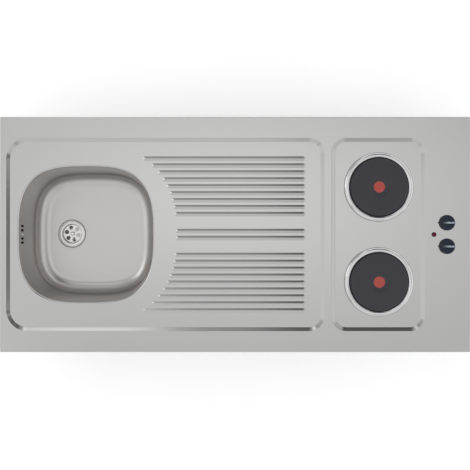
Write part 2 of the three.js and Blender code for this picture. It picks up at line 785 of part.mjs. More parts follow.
function makeDeck() {
  const recess = line([0, 0], [PRESS_RUN, -PRESS_DEPTH]);
  const rib = line([0, 0], [RIB_RUN, RIB_HEIGHT]);
  const collar = line([0, 0], [PLATE_COLLAR_RUN, PLATE_COLLAR_HEIGHT]);
  const recessSteps = 6;
  const recesses = [
    [sinkLeft, sinkRight, RECESS_LEFT_CORNER],
    [hobLeft, hobRight, RECESS_CORNER],
  ].map(([left, right, leftCorner]) => roundedRectangle(
    (left + right) / 2, 0, right - left, 2 * recessRear, RECESS_CORNER, leftCorner, recessSteps,
  ));
  const plateSides = [-PLATE_SPACING / 2, PLATE_SPACING / 2];
  const collars = plateSides.map((y) => (
    circle(PLATE_HOLE_RADIUS + PLATE_COLLAR_WIDTH, FINE, plateX, y)
  ));
  let deck = pressed(solid(deckShell()), recesses, deckTop, recess);
  deck = pressed(deck, ribOutlines(), floorTop, rib);
  deck = pressed(deck, collars, floorTop, collar);

  for (const { x, y, z } of panStuds()) {
    const low = z - SEAT - PAN_SHEET - PAN_STUD_LENGTH;
    deck = deck.add(solid(moved(rod(PAN_STUD_RADIUS, low, z + DECK_SHEET / 2, COARSE), x, y)));
  }
  const through = (outline, x = 0, y = 0) => moved(
    prism(outline, floorUnder - PRESS_DEPTH, deckTop + PRESS_DEPTH), x, y,
  );
  const holes = [
    through(inset(bowlRim, -bowlWeld - SEAT)),
    ...plateSides.map((y) => through(circle(PLATE_HOLE_RADIUS, FINE), plateX, y)),
    through(hole(LAMP_BODY_RADIUS + RUNNING, MEDIUM), lampX),
  ];
  for (const side of [-1, 1]) {
    const y = (side * KNOB_SPACING) / 2;
    holes.push(through(hole(SHAFT_RADIUS + PASSING, MEDIUM), knobX, y));
    for (const end of [-1, 1]) {
      const screwY = y + (end * SWITCH_SCREW_SPACING) / 2;
      holes.push(through(hole(SWITCH_SCREW_RADIUS + RUNNING, COARSE), knobX, screwY));
    }
  }
  for (const waste of holes) {
    deck = deck.subtract(solid(waste));
  }
  place('deck', shape(deck), 'deckSteel');
}

/** Folded channels spot-welded under the deck. */
function makeStiffeners() {
  const top = deckUnder - SEAT;
  const channelY = (recessRear + deckRear) / 2;
  const halfCrown = STIFFENER_CROWN / 2;
  const low = top - STIFFENER_DEPTH;
  const hat = strip(line(
    [-halfCrown - STIFFENER_FOOT, top],
    [-halfCrown, top],
    [-halfCrown, low],
    [halfCrown, low],
    [halfCrown, top],
    [halfCrown + STIFFENER_FOOT, top],
  ), -STIFFENER_SHEET);
  const reach = deckRight - STIFFENER_END_GAP;
  for (const [name, side] of [['stiffener_front', -1], ['stiffener_rear', 1]]) {
    const channel = along(prism(hat, -reach, reach), 'Y', 'Z', 'X');
    place(name, moved(channel, 0, side * channelY), 'zincSteel');
  }

  const halfMember = MEMBER_CROWN / 2;
  const member = strip(line(
    [-halfMember, top - MEMBER_DEPTH],
    [-halfMember, top],
    [halfMember, top],
    [halfMember, top - MEMBER_DEPTH],
  ), -STIFFENER_SHEET);
  const memberReach = recessRear - MEMBER_END_GAP;
  const beam = along(prism(member, -memberReach, memberReach), 'X', 'Z', 'Y');
  place('cross_member', moved(beam, (sinkRight + hobLeft) / 2, 0), 'zincSteel');
}

// ---------------------------------------------------------------- Waste

const strainerRim = dimpleFloor + SEAT; // underside of the strainer's flange
const strainerFloor = strainerRim - STRAINER_DEPTH;
const wasteSealTop = dimpleFloor - BOWL_SHEET - SEAT;
const wasteTop = wasteSealTop - SEAL_THICKNESS - SEAT;
const cupRadius = WASTE_HOLE_RADIUS - PASSING; // outside of the strainer's cup
const outletTop = wasteTop - WASTE_FLANGE_THICKNESS - WASTE_CUP_DEPTH;
const outletEnd = outletTop - WASTE_OUTLET_LENGTH;
const portZ = wasteTop - WASTE_FLANGE_THICKNESS - HOSE_RADIUS - HOSE_NUT_WALL;

/** One of the strainer's openings between two spokes. */
function strainerHole() {
  const outer = cupRadius - 2 * STRAINER_SHEET;
  const inner = STRAINER_HUB_RADIUS + STRAINER_HUB_BORDER;
  const half = Math.PI / STRAINER_HOLES;
  const arc = (radius, from, to, steps) => Array.from({ length: steps + 1 }, (_, i) => {
    const angle = from + ((to - from) * i) / steps;
    return new THREE.Vector2(radius * Math.cos(angle), radius * Math.sin(angle));
  });
  const spoke = (radius) => half - Math.asin(STRAINER_SPOKE / 2 / radius);
  return [
    ...arc(outer, -spoke(outer), spoke(outer), 3),
    ...arc(inner, spoke(inner), -spoke(inner), 1),
  ];
}

function makeWaste() {
  const group = groupAt(wasteX, 0);
  const sheet = STRAINER_SHEET;
  const rim = strainerRim;
  const strainer = turned([
    [WASTE_SCREW_RADIUS + RUNNING, strainerFloor],
    [STRAINER_HUB_RADIUS, strainerFloor],
    [cupRadius - sheet, strainerFloor - sheet],
    [cupRadius, strainerFloor],
    [cupRadius, rim],
    [STRAINER_RADIUS, rim],
    [STRAINER_RADIUS - STRAINER_BEVEL, rim + sheet],
    [cupRadius, rim + STRAINER_CREST],
    [cupRadius - sheet, rim + sheet],
    [cupRadius - sheet, strainerFloor + sheet],
    [STRAINER_HUB_RADIUS, strainerFloor + 2 * sheet],
    [WASTE_SCREW_RADIUS + RUNNING, strainerFloor + 2 * sheet],
    [WASTE_SCREW_RADIUS + RUNNING, strainerFloor],
  ], FINE);
  const openings = Array.from({ length: STRAINER_HOLES }, (_, i) => (
    prism(strainerHole(), strainerFloor - 3 * sheet, strainerFloor + 3 * sheet)
      .rotateZ(STRAINER_TURN + (2 * Math.PI * i) / STRAINER_HOLES)
  ));
  place('waste_strainer', cut(strainer, ...openings), 'chrome', group);

  const headLow = strainerFloor + 2 * sheet + SEAT;
  const headTop = headLow + WASTE_SCREW_HEAD_HEIGHT;
  const screw = panHeadScrew(
    WASTE_SCREW_RADIUS,
    WASTE_SCREW_LENGTH,
    WASTE_SCREW_HEAD_RADIUS,
    WASTE_SCREW_HEAD_HEIGHT,
    headLow,
    MEDIUM,
  );
  const slotReach = WASTE_SCREW_HEAD_RADIUS + OVERLAP;
  const slot = prism(
    rectangle(-slotReach, -WASTE_SCREW_SLOT / 2, slotReach, WASTE_SCREW_SLOT / 2),
    headTop - WASTE_SCREW_SLOT,
    headTop + OVERLAP,
  );
  place('waste_screw', cut(screw, slot), 'chrome', group);

  const bodyBore = cupRadius + RUNNING;
  const sealBore = WASTE_HOLE_RADIUS + RUNNING;
  const seal = ring(sealBore, WASTE_FLANGE_RADIUS, wasteSealTop - SEAL_THICKNESS, wasteSealTop, FINE);
  place('waste_seal', seal, 'rubber', group);

  const flangeLow = wasteTop - WASTE_FLANGE_THICKNESS;
  const cup = turned([
    [bodyBore, wasteTop],
    [bodyBore, outletTop + WASTE_WALL + WASTE_CUP_TAPER],
    [WASTE_OUTLET_BORE_RADIUS, outletTop + WASTE_WALL],
    [WASTE_OUTLET_BORE_RADIUS, outletEnd],
    [WASTE_OUTLET_RADIUS, outletEnd],
    [WASTE_OUTLET_RADIUS, outletTop],
    [bodyBore + WASTE_WALL, outletTop + WASTE_CUP_TAPER],
    [bodyBore + WASTE_WALL, flangeLow],
    [WASTE_FLANGE_RADIUS, flangeLow],
    [WASTE_FLANGE_RADIUS, wasteTop],
    [bodyBore, wasteTop],
  ], FINE);
  const hubTop = strainerFloor - 2 * sheet - PASSING;
  const hubLow = headLow - WASTE_SCREW_LENGTH - WASTE_WALL;
  const hub = rod(WASTE_HUB_RADIUS, hubLow, hubTop, COARSE);
  const crossReach = bodyBore + WASTE_WALL / 2;
  const cross = prism(
    rectangle(-WASTE_WALL / 2, -crossReach, WASTE_WALL / 2, crossReach),
    outletTop + WASTE_WALL + WASTE_CUP_TAPER,
    hubTop,
  );
  const portTip = -bodyBore - WASTE_WALL - HOSE_SPIGOT;
  const port = (radius, from, to) => moved(
    along(rod(radius, from, to, MEDIUM), 'Y', 'Z', 'X'), 0, 0, portZ,
  );
  const body = cut(
    joined(cup, hub, cross, port(HOSE_RADIUS, portTip, -bodyBore - WASTE_WALL / 2)),
    port(HOSE_BORE_RADIUS, portTip - OVERLAP, OVERLAP - bodyBore),
    drilled(WASTE_SCREW_RADIUS + RUNNING, hubLow + WASTE_WALL - RUNNING, hubTop + OVERLAP, COARSE),
  );
  place('waste_body', body, 'whitePlastic', group);
}

// ---------------------------------------------------------------- Overflow

const headLayer = BOWL_SHEET + SEAT + SEAL_THICKNESS + SEAT; // from the bowl to the head, in its frame
const spigotX = overflowX - Math.cos(BOWL_DRAFT) * (headLayer + OVERFLOW_HEAD_DEPTH / 2);
const spigotEnd = overflowZ - OVERFLOW_HEAD_HEIGHT / 2 - HOSE_SPIGOT;
const portEnd = wasteX - cupRadius - RUNNING - WASTE_WALL - HOSE_SPIGOT;

/** The hose's middle line: down from the head, round a quarter turn and along to the waste. */
function hosePath() {
  const drop = spigotEnd - SEAT - (portZ + HOSE_BEND_RADIUS);
  const across = portEnd - SEAT - (spigotX + HOSE_BEND_RADIUS);
  const turn = (Math.PI / 2) * HOSE_BEND_RADIUS;
  const at = (distance) => {
    if (distance < drop) {
      return { x: spigotX, z: spigotEnd - SEAT - distance, angle: 0 };
    }
    if (distance < drop + turn) {
      const angle = (distance - drop) / HOSE_BEND_RADIUS;
      return {
        x: spigotX + HOSE_BEND_RADIUS * (1 - Math.cos(angle)),
        z: portZ + HOSE_BEND_RADIUS * (1 - Math.sin(angle)),
        angle,
      };
    }
    const rest = distance - drop - turn;
    return { x: spigotX + HOSE_BEND_RADIUS + rest, z: portZ, angle: Math.PI / 2 };
  };
  return { at, length: drop + turn + across };
}

/** A ring of points square to the hose's middle line. */
function hoseRing(at, distance, radius) {
  const { x, z, angle } = at(distance);
  return circle(radius, HOSE_POINTS).map(({ x: outwards, y }) => [
    x - outwards * Math.cos(angle), y, z - outwards * Math.sin(angle),
  ]);
}

/** The corrugated hose: a crest and a root ring to each rib outside, and a plain bore. */
function hoseGeometry() {
  const { at, length } = hosePath();
  const ribbed = length - 2 * HOSE_CUFF;
  const ribs = Math.round(ribbed / HOSE_RIB_PITCH);
  const pitch = ribbed / ribs;
  const rings = [hoseRing(at, 0, HOSE_RADIUS)];
  for (let rib = 0; rib < ribs; rib++) {
    rings.push(hoseRing(at, HOSE_CUFF + rib * pitch, HOSE_RADIUS));
    rings.push(hoseRing(at, HOSE_CUFF + (rib + 0.5) * pitch, HOSE_ROOT_RADIUS));
  }
  rings.push(hoseRing(at, length - HOSE_CUFF, HOSE_RADIUS));
  rings.push(hoseRing(at, length, HOSE_RADIUS));
  const boreSteps = Math.ceil(ribs / HOSE_BORE_STRIDE);
  const bore = [length, length - HOSE_CUFF];
  for (let step = boreSteps - 1; step > 0; step--) {
    bore.push(HOSE_CUFF + (ribbed * step) / boreSteps);
  }
  bore.push(HOSE_CUFF, 0);
  rings.push(...bore.map((distance) => hoseRing(at, distance, HOSE_BORE_RADIUS)));

  const triangles = [];
  rings.forEach((_, ringIndex) => {
    const low = ringIndex * HOSE_POINTS;
    const high = ((ringIndex + 1) % rings.length) * HOSE_POINTS;
    for (let i = 0; i < HOSE_POINTS; i++) {
      const next = (i + 1) % HOSE_POINTS;
      triangles.push(low + i, low + next, high + next, low + i, high + next, high + i);
    }
  });
  const geometry = new THREE.BufferGeometry();
  geometry.setAttribute('position', new THREE.Float32BufferAttribute(rings.flat(2), 3));
  geometry.setIndex(triangles);
  return closed(geometry);
}

function makeOverflow() {
  const sealLow = BOWL_SHEET + SEAT;
  const plate = roundedRectangle(
    0, 0, OVERFLOW_HEAD_HEIGHT, OVERFLOW_HEAD_WIDTH, OVERFLOW_HEAD_CORNER,
  );
  const pocket = inset(plate, OVERFLOW_WALL);
  const seal = onWall(prism(plate, sealLow, sealLow + SEAL_THICKNESS, [pocket]));
  place('overflow_seal', seal, 'rubber');

  const headFar = headLayer + OVERFLOW_HEAD_DEPTH;
  const block = onWall(loft([
    { outline: plate, z: headLayer },
    { outline: plate, z: headFar - OVERFLOW_WALL },
    { outline: inset(plate, OVERFLOW_WALL / 2), z: headFar },
  ]));
  const hollow = onWall(prism(pocket, headLayer - OVERLAP, headFar - OVERFLOW_WALL));
  const screwTip = headLayer + OVERFLOW_SCREW_GRIP;
  const boss = onWall(rod(
    OVERFLOW_SCREW_RADIUS + OVERFLOW_WALL, headLayer, headFar - OVERFLOW_WALL / 2, COARSE,
  ));
  const screwHole = onWall(drilled(
    OVERFLOW_SCREW_RADIUS + RUNNING, headLayer - OVERLAP, screwTip + OVERLAP, COARSE,
  ));
  const spigotTop = overflowZ - OVERFLOW_HEAD_HEIGHT / 2 + OVERFLOW_WALL;
  const spigot = moved(rod(HOSE_RADIUS, spigotEnd, spigotTop, MEDIUM), spigotX, 0);
  const bore = moved(
    rod(HOSE_BORE_RADIUS, spigotEnd - OVERLAP, spigotTop + OVERLAP, MEDIUM), spigotX, 0,
  );
  const shell = joined(cut(block, hollow), boss, cut(spigot, bore));
  place('overflow_head', cut(shell, screwHole, bore), 'blackPlastic');

  const screw = panHeadScrew(
    OVERFLOW_SCREW_RADIUS,
    screwTip + SEAT,
    OVERFLOW_SCREW_HEAD_RADIUS,
    OVERFLOW_SCREW_HEAD_HEIGHT,
    SEAT,
    MEDIUM,
  );
  place('overflow_screw', onWall(screw.rotateX(Math.PI)), 'chrome');

  place('overflow_hose', hoseGeometry(), 'greyPlastic');
  const halfNut = HOSE_NUT_LENGTH / 2;
  const nut = () => ring(
    HOSE_RADIUS + RUNNING, HOSE_RADIUS + HOSE_NUT_WALL, -halfNut, halfNut, MEDIUM,
  );
  place('hose_nut_top', moved(nut(), spigotX, 0, spigotEnd), 'whitePlastic');
  const sideways = along(nut(), 'Y', 'Z', 'X');
  place('hose_nut_bottom', moved(sideways, portEnd, 0, portZ), 'whitePlastic');
}

// ---------------------------------------------------------------- Hotplates

const ringFoot = floorTop + 2 * SEAT + RING_SEAL_THICKNESS;
const lipAngle = (5 * Math.PI) / 6; // where the ring's curve ends on the iron's ledge
const ringWidth = RING_RADIUS - PLATE_RADIUS - RING_GAP;
const ringReach = ringWidth / (1 - Math.cos(lipAngle));
const ringHeight = floorTop + RING_CREST - ringFoot;
const ledgeTop = ringFoot + (ringHeight - RING_SHEET) * Math.sin(lipAngle) - SEAT;

/** The domed spill ring round an iron: an arc of sheet from its foot over to its lip. */
function spillRing() {
  const arc = (sheet, steps) => Array.from({ length: steps + 1 }, (_, i) => {
    const angle = (lipAngle * i) / steps;
    return [
      RING_RADIUS - ringReach + (ringReach - sheet) * Math.cos(angle),
      ringFoot + (ringHeight - sheet) * Math.sin(angle),
    ];
  });
  const outside = arc(0, 5);
  return turned([...outside, ...arc(RING_SHEET, 2).reverse(), outside[0]], LARGE);
}

function makeHotplate(name, side) {
  const group = groupAt(plateX, (side * PLATE_SPACING) / 2);
  const body = PLATE_RADIUS - PLATE_BODY_STEP;
  const iron = turned([
    [0, plateTop - PLATE_DIMPLE_DEPTH],
    [PLATE_DIMPLE_RADIUS - PLATE_DIMPLE_RUN, plateTop - PLATE_DIMPLE_DEPTH],
    [PLATE_DIMPLE_RADIUS, plateTop],
    [PLATE_RADIUS - PLATE_CHAMFER, plateTop],
    [PLATE_RADIUS, plateTop - PLATE_CHAMFER],
    [PLATE_RADIUS, ledgeTop],
    [PLATE_RADIUS + PLATE_LEDGE, ledgeTop],
    [PLATE_RADIUS + PLATE_LEDGE, ledgeTop - PLATE_LEDGE_THICKNESS],
    [body, ledgeTop - PLATE_LEDGE_THICKNESS],
    [body, plateUnder],
    [PLATE_STUD_RADIUS, plateUnder],
    [PLATE_STUD_RADIUS, plateUnder - PLATE_STUD_LENGTH],
    [0, plateUnder - PLATE_STUD_LENGTH],
  ], LARGE);
  place(`hotplate_${name}`, iron, 'castIron', group);
  place(`spill_ring_${name}`, spillRing(), 'chrome', group);

  const sealOuter = RING_RADIUS + RING_SHEET;
  const sealLow = floorTop + SEAT;
  const seal = ring(
    sealOuter - RING_SEAL_WIDTH, sealOuter - RING_SHEET, sealLow, sealLow + RING_SEAL_THICKNESS, LARGE,
  );
  place(`ring_seal_${name}`, seal, 'rubber', group);

  const stud = PLATE_STUD_RADIUS + RUNNING;
  const base = turned([
    [stud, baseUnder],
    [BASE_RADIUS - BASE_CHAMFER, baseUnder],
    [BASE_RADIUS, baseUnder + BASE_CHAMFER],
    [BASE_RADIUS, plateUnder - SEAT],
    [BASE_RADIUS - BASE_SHEET, plateUnder - SEAT],
    [BASE_RADIUS - BASE_SHEET, baseUnder + BASE_CHAMFER],
    [BASE_RADIUS - BASE_CHAMFER - BASE_SHEET, baseUnder + BASE_SHEET],
    [stud, baseUnder + BASE_SHEET],
    [stud, baseUnder],
  ], FINE);
  place(`coil_cover_${name}`, base, 'zincSteel', group);

  const padTop = floorUnder - SEAT;
  const padInner = PLATE_HOLE_RADIUS + PLATE_COLLAR_WIDTH + SEAT;
  const clampTop = clampUnder + CLAMP_SHEET;
  const half = [
    [padInner + CLAMP_PAD, padTop],
    [padInner, padTop],
    [padInner - CLAMP_SLOPE_RUN, clampTop],
  ];
  const mirrored = half.map(([x, z]) => [-x, z]).reverse();
  const bridge = along(
    prism(strip(line(...half, ...mirrored), CLAMP_SHEET), -CLAMP_WIDTH / 2, CLAMP_WIDTH / 2),
    'X', 'Z', 'Y',
  );
  const studHole = drilled(stud, clampUnder - OVERLAP, clampTop + OVERLAP, COARSE);
  place(`clamp_bridge_${name}`, cut(bridge, studHole), 'zincSteel', group);

  const nutTop = clampUnder - SEAT;
  const nut = prism(hexagon(NUT_ACROSS_FLATS), nutTop - NUT_THICKNESS, nutTop, [hole(stud, COARSE)]);
  place(`clamp_nut_${name}`, nut, 'zincSteel', group);

  const blockTop = baseUnder - SEAT;
  const blockLow = blockTop - BLOCK_HEIGHT;
  const blockY = -side * BLOCK_SHIFT_Y;
  const block = prism(
    roundedRectangle(BLOCK_SHIFT_X, blockY, BLOCK_LENGTH, BLOCK_WIDTH, BLOCK_CORNER),
    blockLow,
    blockTop,
  );
  const screws = [-1, 0, 1].map((pole) => moved(
    rod(BLOCK_SCREW_RADIUS, blockLow - OVERLAP, blockLow + BLOCK_SCREW_DEPTH, COARSE),
    BLOCK_SHIFT_X + pole * BLOCK_PITCH,
    blockY,
  ));
  place(`terminal_block_${name}`, cut(block, ...screws), 'ceramic', group);
}

// ---------------------------------------------------------------- Knobs and switches

/** The grip: a drafted ridge that rises in a curve away from the pointer to a steep tail. */
function gripGeometry(low) {
  const foot = KNOB_GRIP_WIDTH / 2;
  const draft = (foot - KNOB_GRIP_CREST / 2) / KNOB_GRIP_RISE;
  const reach = KNOB_RADIUS - KNOB_GRIP_BORDER;
  const highest = reach - KNOB_GRIP_TAIL;
  const section = (x, rise) => {
    const crest = foot - draft * rise;
    const z = KNOB_SKIRT_HEIGHT + rise;
    return { outline: line([-foot, low], [foot, low], [crest, z], [-crest, z]), z: x };
  };
  const steps = 6;
  const sections = Array.from({ length: steps + 1 }, (_, step) => {
    const part = step / steps;
    return section(part * (highest + reach) - reach, KNOB_GRIP_RISE * part ** KNOB_GRIP_CURVE);
  });
  return along(loft([...sections, section(reach, 0)]), 'Y', 'Z', 'X');
}

/** A pointer knob: a hollow skirt, a grip along X and a nub that points. */
function knobGeometry() {
  const top = KNOB_SKIRT_HEIGHT;
  const skirt = turned([
    [0, top],
    [KNOB_RADIUS - KNOB_SHOULDER, top],
    [KNOB_RADIUS - KNOB_SHOULDER / 2, top - KNOB_SHOULDER_RISE],
    [KNOB_RADIUS, top - KNOB_FLARE_RISE],
    [KNOB_RADIUS, 0],
    [KNOB_RADIUS - KNOB_WALL, 0],
    [KNOB_RADIUS - KNOB_WALL - KNOB_DRAW, top - KNOB_WALL],
    [KNOB_HUB_RADIUS, top - KNOB_WALL],
    [KNOB_HUB_RADIUS, KNOB_HUB_LIFT],
    [0, KNOB_HUB_LIFT],
  ], FINE);
  const grip = gripGeometry(top - KNOB_WALL / 2);
  const nub = moved(
    rod(KNOB_POINTER_RADIUS, 0, top - KNOB_FLARE_RISE, COARSE),
    KNOB_POINTER_RADIUS - KNOB_RADIUS - KNOB_POINTER,
    0,
  );
  const bore = prism(
    shaftOutline(SHAFT_RADIUS + RUNNING, SHAFT_RADIUS - SHAFT_FLAT + RUNNING),
    KNOB_HUB_LIFT - OVERLAP,
    KNOB_HUB_LIFT + SHAFT_GRIP + RUNNING,
  );
  return cut(joined(skirt, grip, nub), bore);
}

/** A round section with one flat, which faces the pointer. */
function shaftOutline(radius, flat) {
  return circle(radius, MEDIUM).map(({ x, y }) => new THREE.Vector2(Math.max(x, -flat), y));
}

function makeSwitch(name, side) {
  const group = groupAt(knobX, (side * KNOB_SPACING) / 2);
  place(`knob_${name}`, moved(knobGeometry(), 0, 0, knobLow), 'knobPlastic', group);

  const shaftTop = knobLow + KNOB_HUB_LIFT + SHAFT_GRIP;
  const shaftLow = switchTop - SHAFT_IN_SWITCH;
  const flatLow = shaftTop - SHAFT_GRIP - RUNNING;
  const section = shaftOutline(SHAFT_RADIUS, SHAFT_RADIUS - SHAFT_FLAT);
  const flatted = prism(section, flatLow - OVERLAP, shaftTop);
  const shaft = joined(rod(SHAFT_RADIUS, shaftLow, flatLow, MEDIUM), flatted);
  place(`switch_shaft_${name}`, shaft, 'zincSteel', group);

  const housing = prism(
    roundedRectangle(0, 0, SWITCH_SIZE, SWITCH_SIZE, SWITCH_CORNER), switchUnder, switchTop,
  );
  const shaftHole = drilled(SHAFT_RADIUS + RUNNING, shaftLow - OVERLAP, switchTop + OVERLAP, MEDIUM);
  const screwSides = [-SWITCH_SCREW_SPACING / 2, SWITCH_SCREW_SPACING / 2];
  const screwTip = deckTop + SEAT - SWITCH_SCREW_LENGTH;
  const screwHoles = screwSides.map((y) => moved(
    drilled(SWITCH_SCREW_RADIUS + RUNNING, screwTip - OVERLAP, switchTop + OVERLAP, COARSE), 0, y,
  ));
  const halfPocket = SWITCH_POCKET_WIDTH / 2;
  const pockets = [-1, 0, 1].map((row) => moved(
    prism(
      rectangle(-SWITCH_POCKET_LENGTH / 2, -halfPocket, SWITCH_POCKET_LENGTH / 2, halfPocket),
      switchUnder - OVERLAP,
      switchUnder + SWITCH_POCKET_DEPTH,
    ),
    0,
    row * SWITCH_POCKET_PITCH,
  ));
  const body = cut(housing, shaftHole, ...screwHoles, ...pockets);
  place(`switch_body_${name}`, body, 'whitePlastic', group);

  const gasket = ring(
    SHAFT_RADIUS + RUNNING, GASKET_RADIUS, deckTop + SEAT, deckTop + SEAT + GASKET_THICKNESS, MEDIUM,
  );
  place(`shaft_gasket_${name}`, gasket, 'rubber', group);

  screwSides.forEach((y, i) => {
    const screw = panHeadScrew(
      SWITCH_SCREW_RADIUS,
      SWITCH_SCREW_LENGTH,
      SWITCH_SCREW_HEAD_RADIUS,
      SWITCH_SCREW_HEAD_HEIGHT,
      deckTop + SEAT,
      COARSE,
    );
    place(`switch_screw_${name}_${i + 1}`, moved(screw, 0, y), 'zincSteel', group);
  });
}

function makeLamp() {
  const group = groupAt(lampX, 0);
  const bezelLow = deckTop + SEAT;
  const bezelTop = bezelLow + LAMP_BEZEL_THICKNESS;
  const low = bezelLow - LAMP_BODY_LENGTH;
  const body = turned([
    [0, low],
    [LAMP_BODY_RADIUS, low],
    [LAMP_BODY_RADIUS, bezelLow],
    [LAMP_BEZEL_RADIUS, bezelLow],
    [LAMP_BEZEL_RADIUS, bezelTop],
    [0, bezelTop],
  ], MEDIUM);
  place('lamp_body', body, 'blackPlastic', group);

  const lensLow = bezelTop + SEAT;
  const domeSteps = 4;
  const domeLow = lensLow + LAMP_LENS_EDGE;
  const domeHeight = LAMP_LENS_HEIGHT - LAMP_LENS_EDGE;
  const dome = Array.from({ length: domeSteps + 1 }, (_, i) => {
    const angle = (i / domeSteps) * (Math.PI / 2);
    return [LAMP_RADIUS * Math.cos(angle), domeLow + domeHeight * Math.sin(angle)];
  });
  const lens = turned([[0, lensLow], [LAMP_RADIUS, lensLow], ...dome], MEDIUM);
  place('lamp_lens', lens, 'lampPlastic', group);

  const nutTop = deckUnder - SEAT;
  const nut = prism(
    hexagon(NUT_ACROSS_FLATS), nutTop - PAN_NUT_THICKNESS, nutTop,
    [hole(LAMP_BODY_RADIUS + RUNNING, COARSE)],
  );
  place('lamp_nut', nut, 'zincSteel', group);
}

// ---------------------------------------------------------------- Pan and supply

const panX = (panLeft + panRight) / 2;
const glandX = plateX + TERMINAL_SHIFT;
const glandZ = panFloor + GLAND_HEIGHT;
const terminalY = panRear - TERMINAL_BORDER;
const panStepX = hobRight + SEAT; // left of here the deck above is pressed down

function makePan() {
  const length = panRight - panLeft;
  const outline = roundedRectangle(panX, 0, length, PAN_WIDTH, PAN_CORNER);
  const tray = (depth, top) => loft([
    { outline: inset(outline, PAN_BEND + depth * Math.tan(Math.PI / 8)), z: panFloor + depth },
    { outline: inset(outline, depth), z: panFloor + PAN_BEND + depth * Math.tan(Math.PI / 8) },
    { outline: inset(outline, depth), z: top },
  ]);
  const lowTop = floorUnder - SEAT;
  const lowered = prism(
    rectangle(panLeft - OVERLAP, -PAN_WIDTH, panStepX, PAN_WIDTH), lowTop, panTop + OVERLAP,
  );
  const slots = [];
  for (let column = 0; column < VENT_COLUMNS; column++) {
    for (let row = 0; row < VENT_ROWS; row++) {
      const x = panX + (column - (VENT_COLUMNS - 1) / 2) * VENT_PITCH_X;
      const y = (row - (VENT_ROWS - 1) / 2) * VENT_PITCH_Y;
      slots.push(prism(
        stadium(x - VENT_LENGTH / 2, x + VENT_LENGTH / 2, y, VENT_WIDTH, 2),
        panFloor - OVERLAP,
        panFloor + PAN_SHEET + OVERLAP,
      ));
    }
  }
  const glandDrill = drilled(
    GLAND_THREAD_RADIUS + RUNNING, panRear - PAN_SHEET - OVERLAP, panRear + OVERLAP, MEDIUM,
  );
  const glandHole = moved(along(glandDrill, 'X', 'Z', 'Y'), glandX, 0, glandZ);
  const shell = cut(tray(0, panTop), tray(PAN_SHEET, panTop + OVERLAP), lowered, glandHole, ...slots);

  const halfFlange = PAN_STUD_SPACING / 2 + PAN_STUD_BORDER;
  const flanges = [
    prism(rectangle(panLeft - PAN_FLANGE, -halfFlange, panLeft + PAN_SHEET / 2, halfFlange),
      lowTop - PAN_SHEET, lowTop),
    prism(rectangle(panRight - PAN_SHEET / 2, -halfFlange, panRight + PAN_FLANGE, halfFlange),
      panTop - PAN_SHEET, panTop),
  ];
  const studHoles = panStuds().map(({ x, y, z }) => moved(
    drilled(PAN_STUD_RADIUS + RUNNING, z - SEAT - PAN_SHEET - OVERLAP, z, COARSE), x, y,
  ));
  place('hob_pan', cut(joined(shell, ...flanges), ...studHoles), 'zincSteel');

  for (const { column, x, y, z } of panStuds()) {
    const top = z - 2 * SEAT - PAN_SHEET;
    const nut = prism(
      hexagon(PAN_NUT_ACROSS_FLATS), top - PAN_NUT_THICKNESS, top,
      [hole(PAN_STUD_RADIUS + RUNNING, COARSE)],
    );
    const name = `pan_nut_${column < 0 ? 'left' : 'right'}_${y < 0 ? 'front' : 'rear'}`;
    place(name, moved(nut, x, y), 'zincSteel');
  }
}

/** A lead along a smooth curve through the given points. */
function lead(...points) {
  const curve = new THREE.CatmullRomCurve3(points.map((point) => new THREE.Vector3(...point)));
  return closed(new THREE.ExtrudeGeometry(new THREE.Shape(circle(LEAD_RADIUS, COARSE)), {
    steps: 10,
    extrudePath: curve,
  }));
}

function makeSupply() {
  const floor = panFloor + PAN_SHEET + SEAT;
  const block = prism(
    roundedRectangle(glandX, terminalY, TERMINAL_LENGTH, TERMINAL_WIDTH, BLOCK_CORNER),
    floor,
    floor + TERMINAL_HEIGHT,
  );
  const poles = [-1, 0, 1].map((pole) => moved(
    rod(BLOCK_SCREW_RADIUS, floor + TERMINAL_HEIGHT / 2, floor + TERMINAL_HEIGHT + OVERLAP, COARSE),
    glandX + pole * TERMINAL_PITCH,
    terminalY,
  ));
  place('mains_terminal', cut(block, ...poles), 'whitePlastic');

  const group = groupAt(glandX, panRear, glandZ);
  const hex = prism(hexagon(GLAND_ACROSS_FLATS), SEAT, SEAT + GLAND_HEX_LENGTH);
  const capLow = SEAT + GLAND_HEX_LENGTH;
  const cap = turned([
    [0, capLow - OVERLAP],
    [GLAND_CAP_RADIUS, capLow - OVERLAP],
    [GLAND_CAP_RADIUS, capLow + GLAND_CAP_STRAIGHT],
    [GLAND_BORE_RADIUS + GLAND_CAP_LIP, capLow + GLAND_CAP_LENGTH],
    [0, capLow + GLAND_CAP_LENGTH],
  ], MEDIUM);
  const insideEnd = -PAN_SHEET - GLAND_INSIDE_LENGTH;
  const thread = rod(GLAND_THREAD_RADIUS, insideEnd, SEAT + OVERLAP, MEDIUM);
  const boreEnd = capLow + GLAND_CAP_LENGTH + OVERLAP;
  const bore = rod(GLAND_BORE_RADIUS, insideEnd - OVERLAP, boreEnd, MEDIUM);
  const gland = cut(joined(hex, cap, thread), bore);
  place('cable_gland', along(gland, 'X', 'Z', 'Y'), 'greyPlastic', group);
  const nutTop = -PAN_SHEET - SEAT;
  const nut = prism(hexagon(GLAND_ACROSS_FLATS), nutTop - NUT_THICKNESS, nutTop,
    [hole(GLAND_THREAD_RADIUS + RUNNING, MEDIUM)]);
  place('gland_nut', along(nut, 'X', 'Z', 'Y'), 'greyPlastic', group);
}

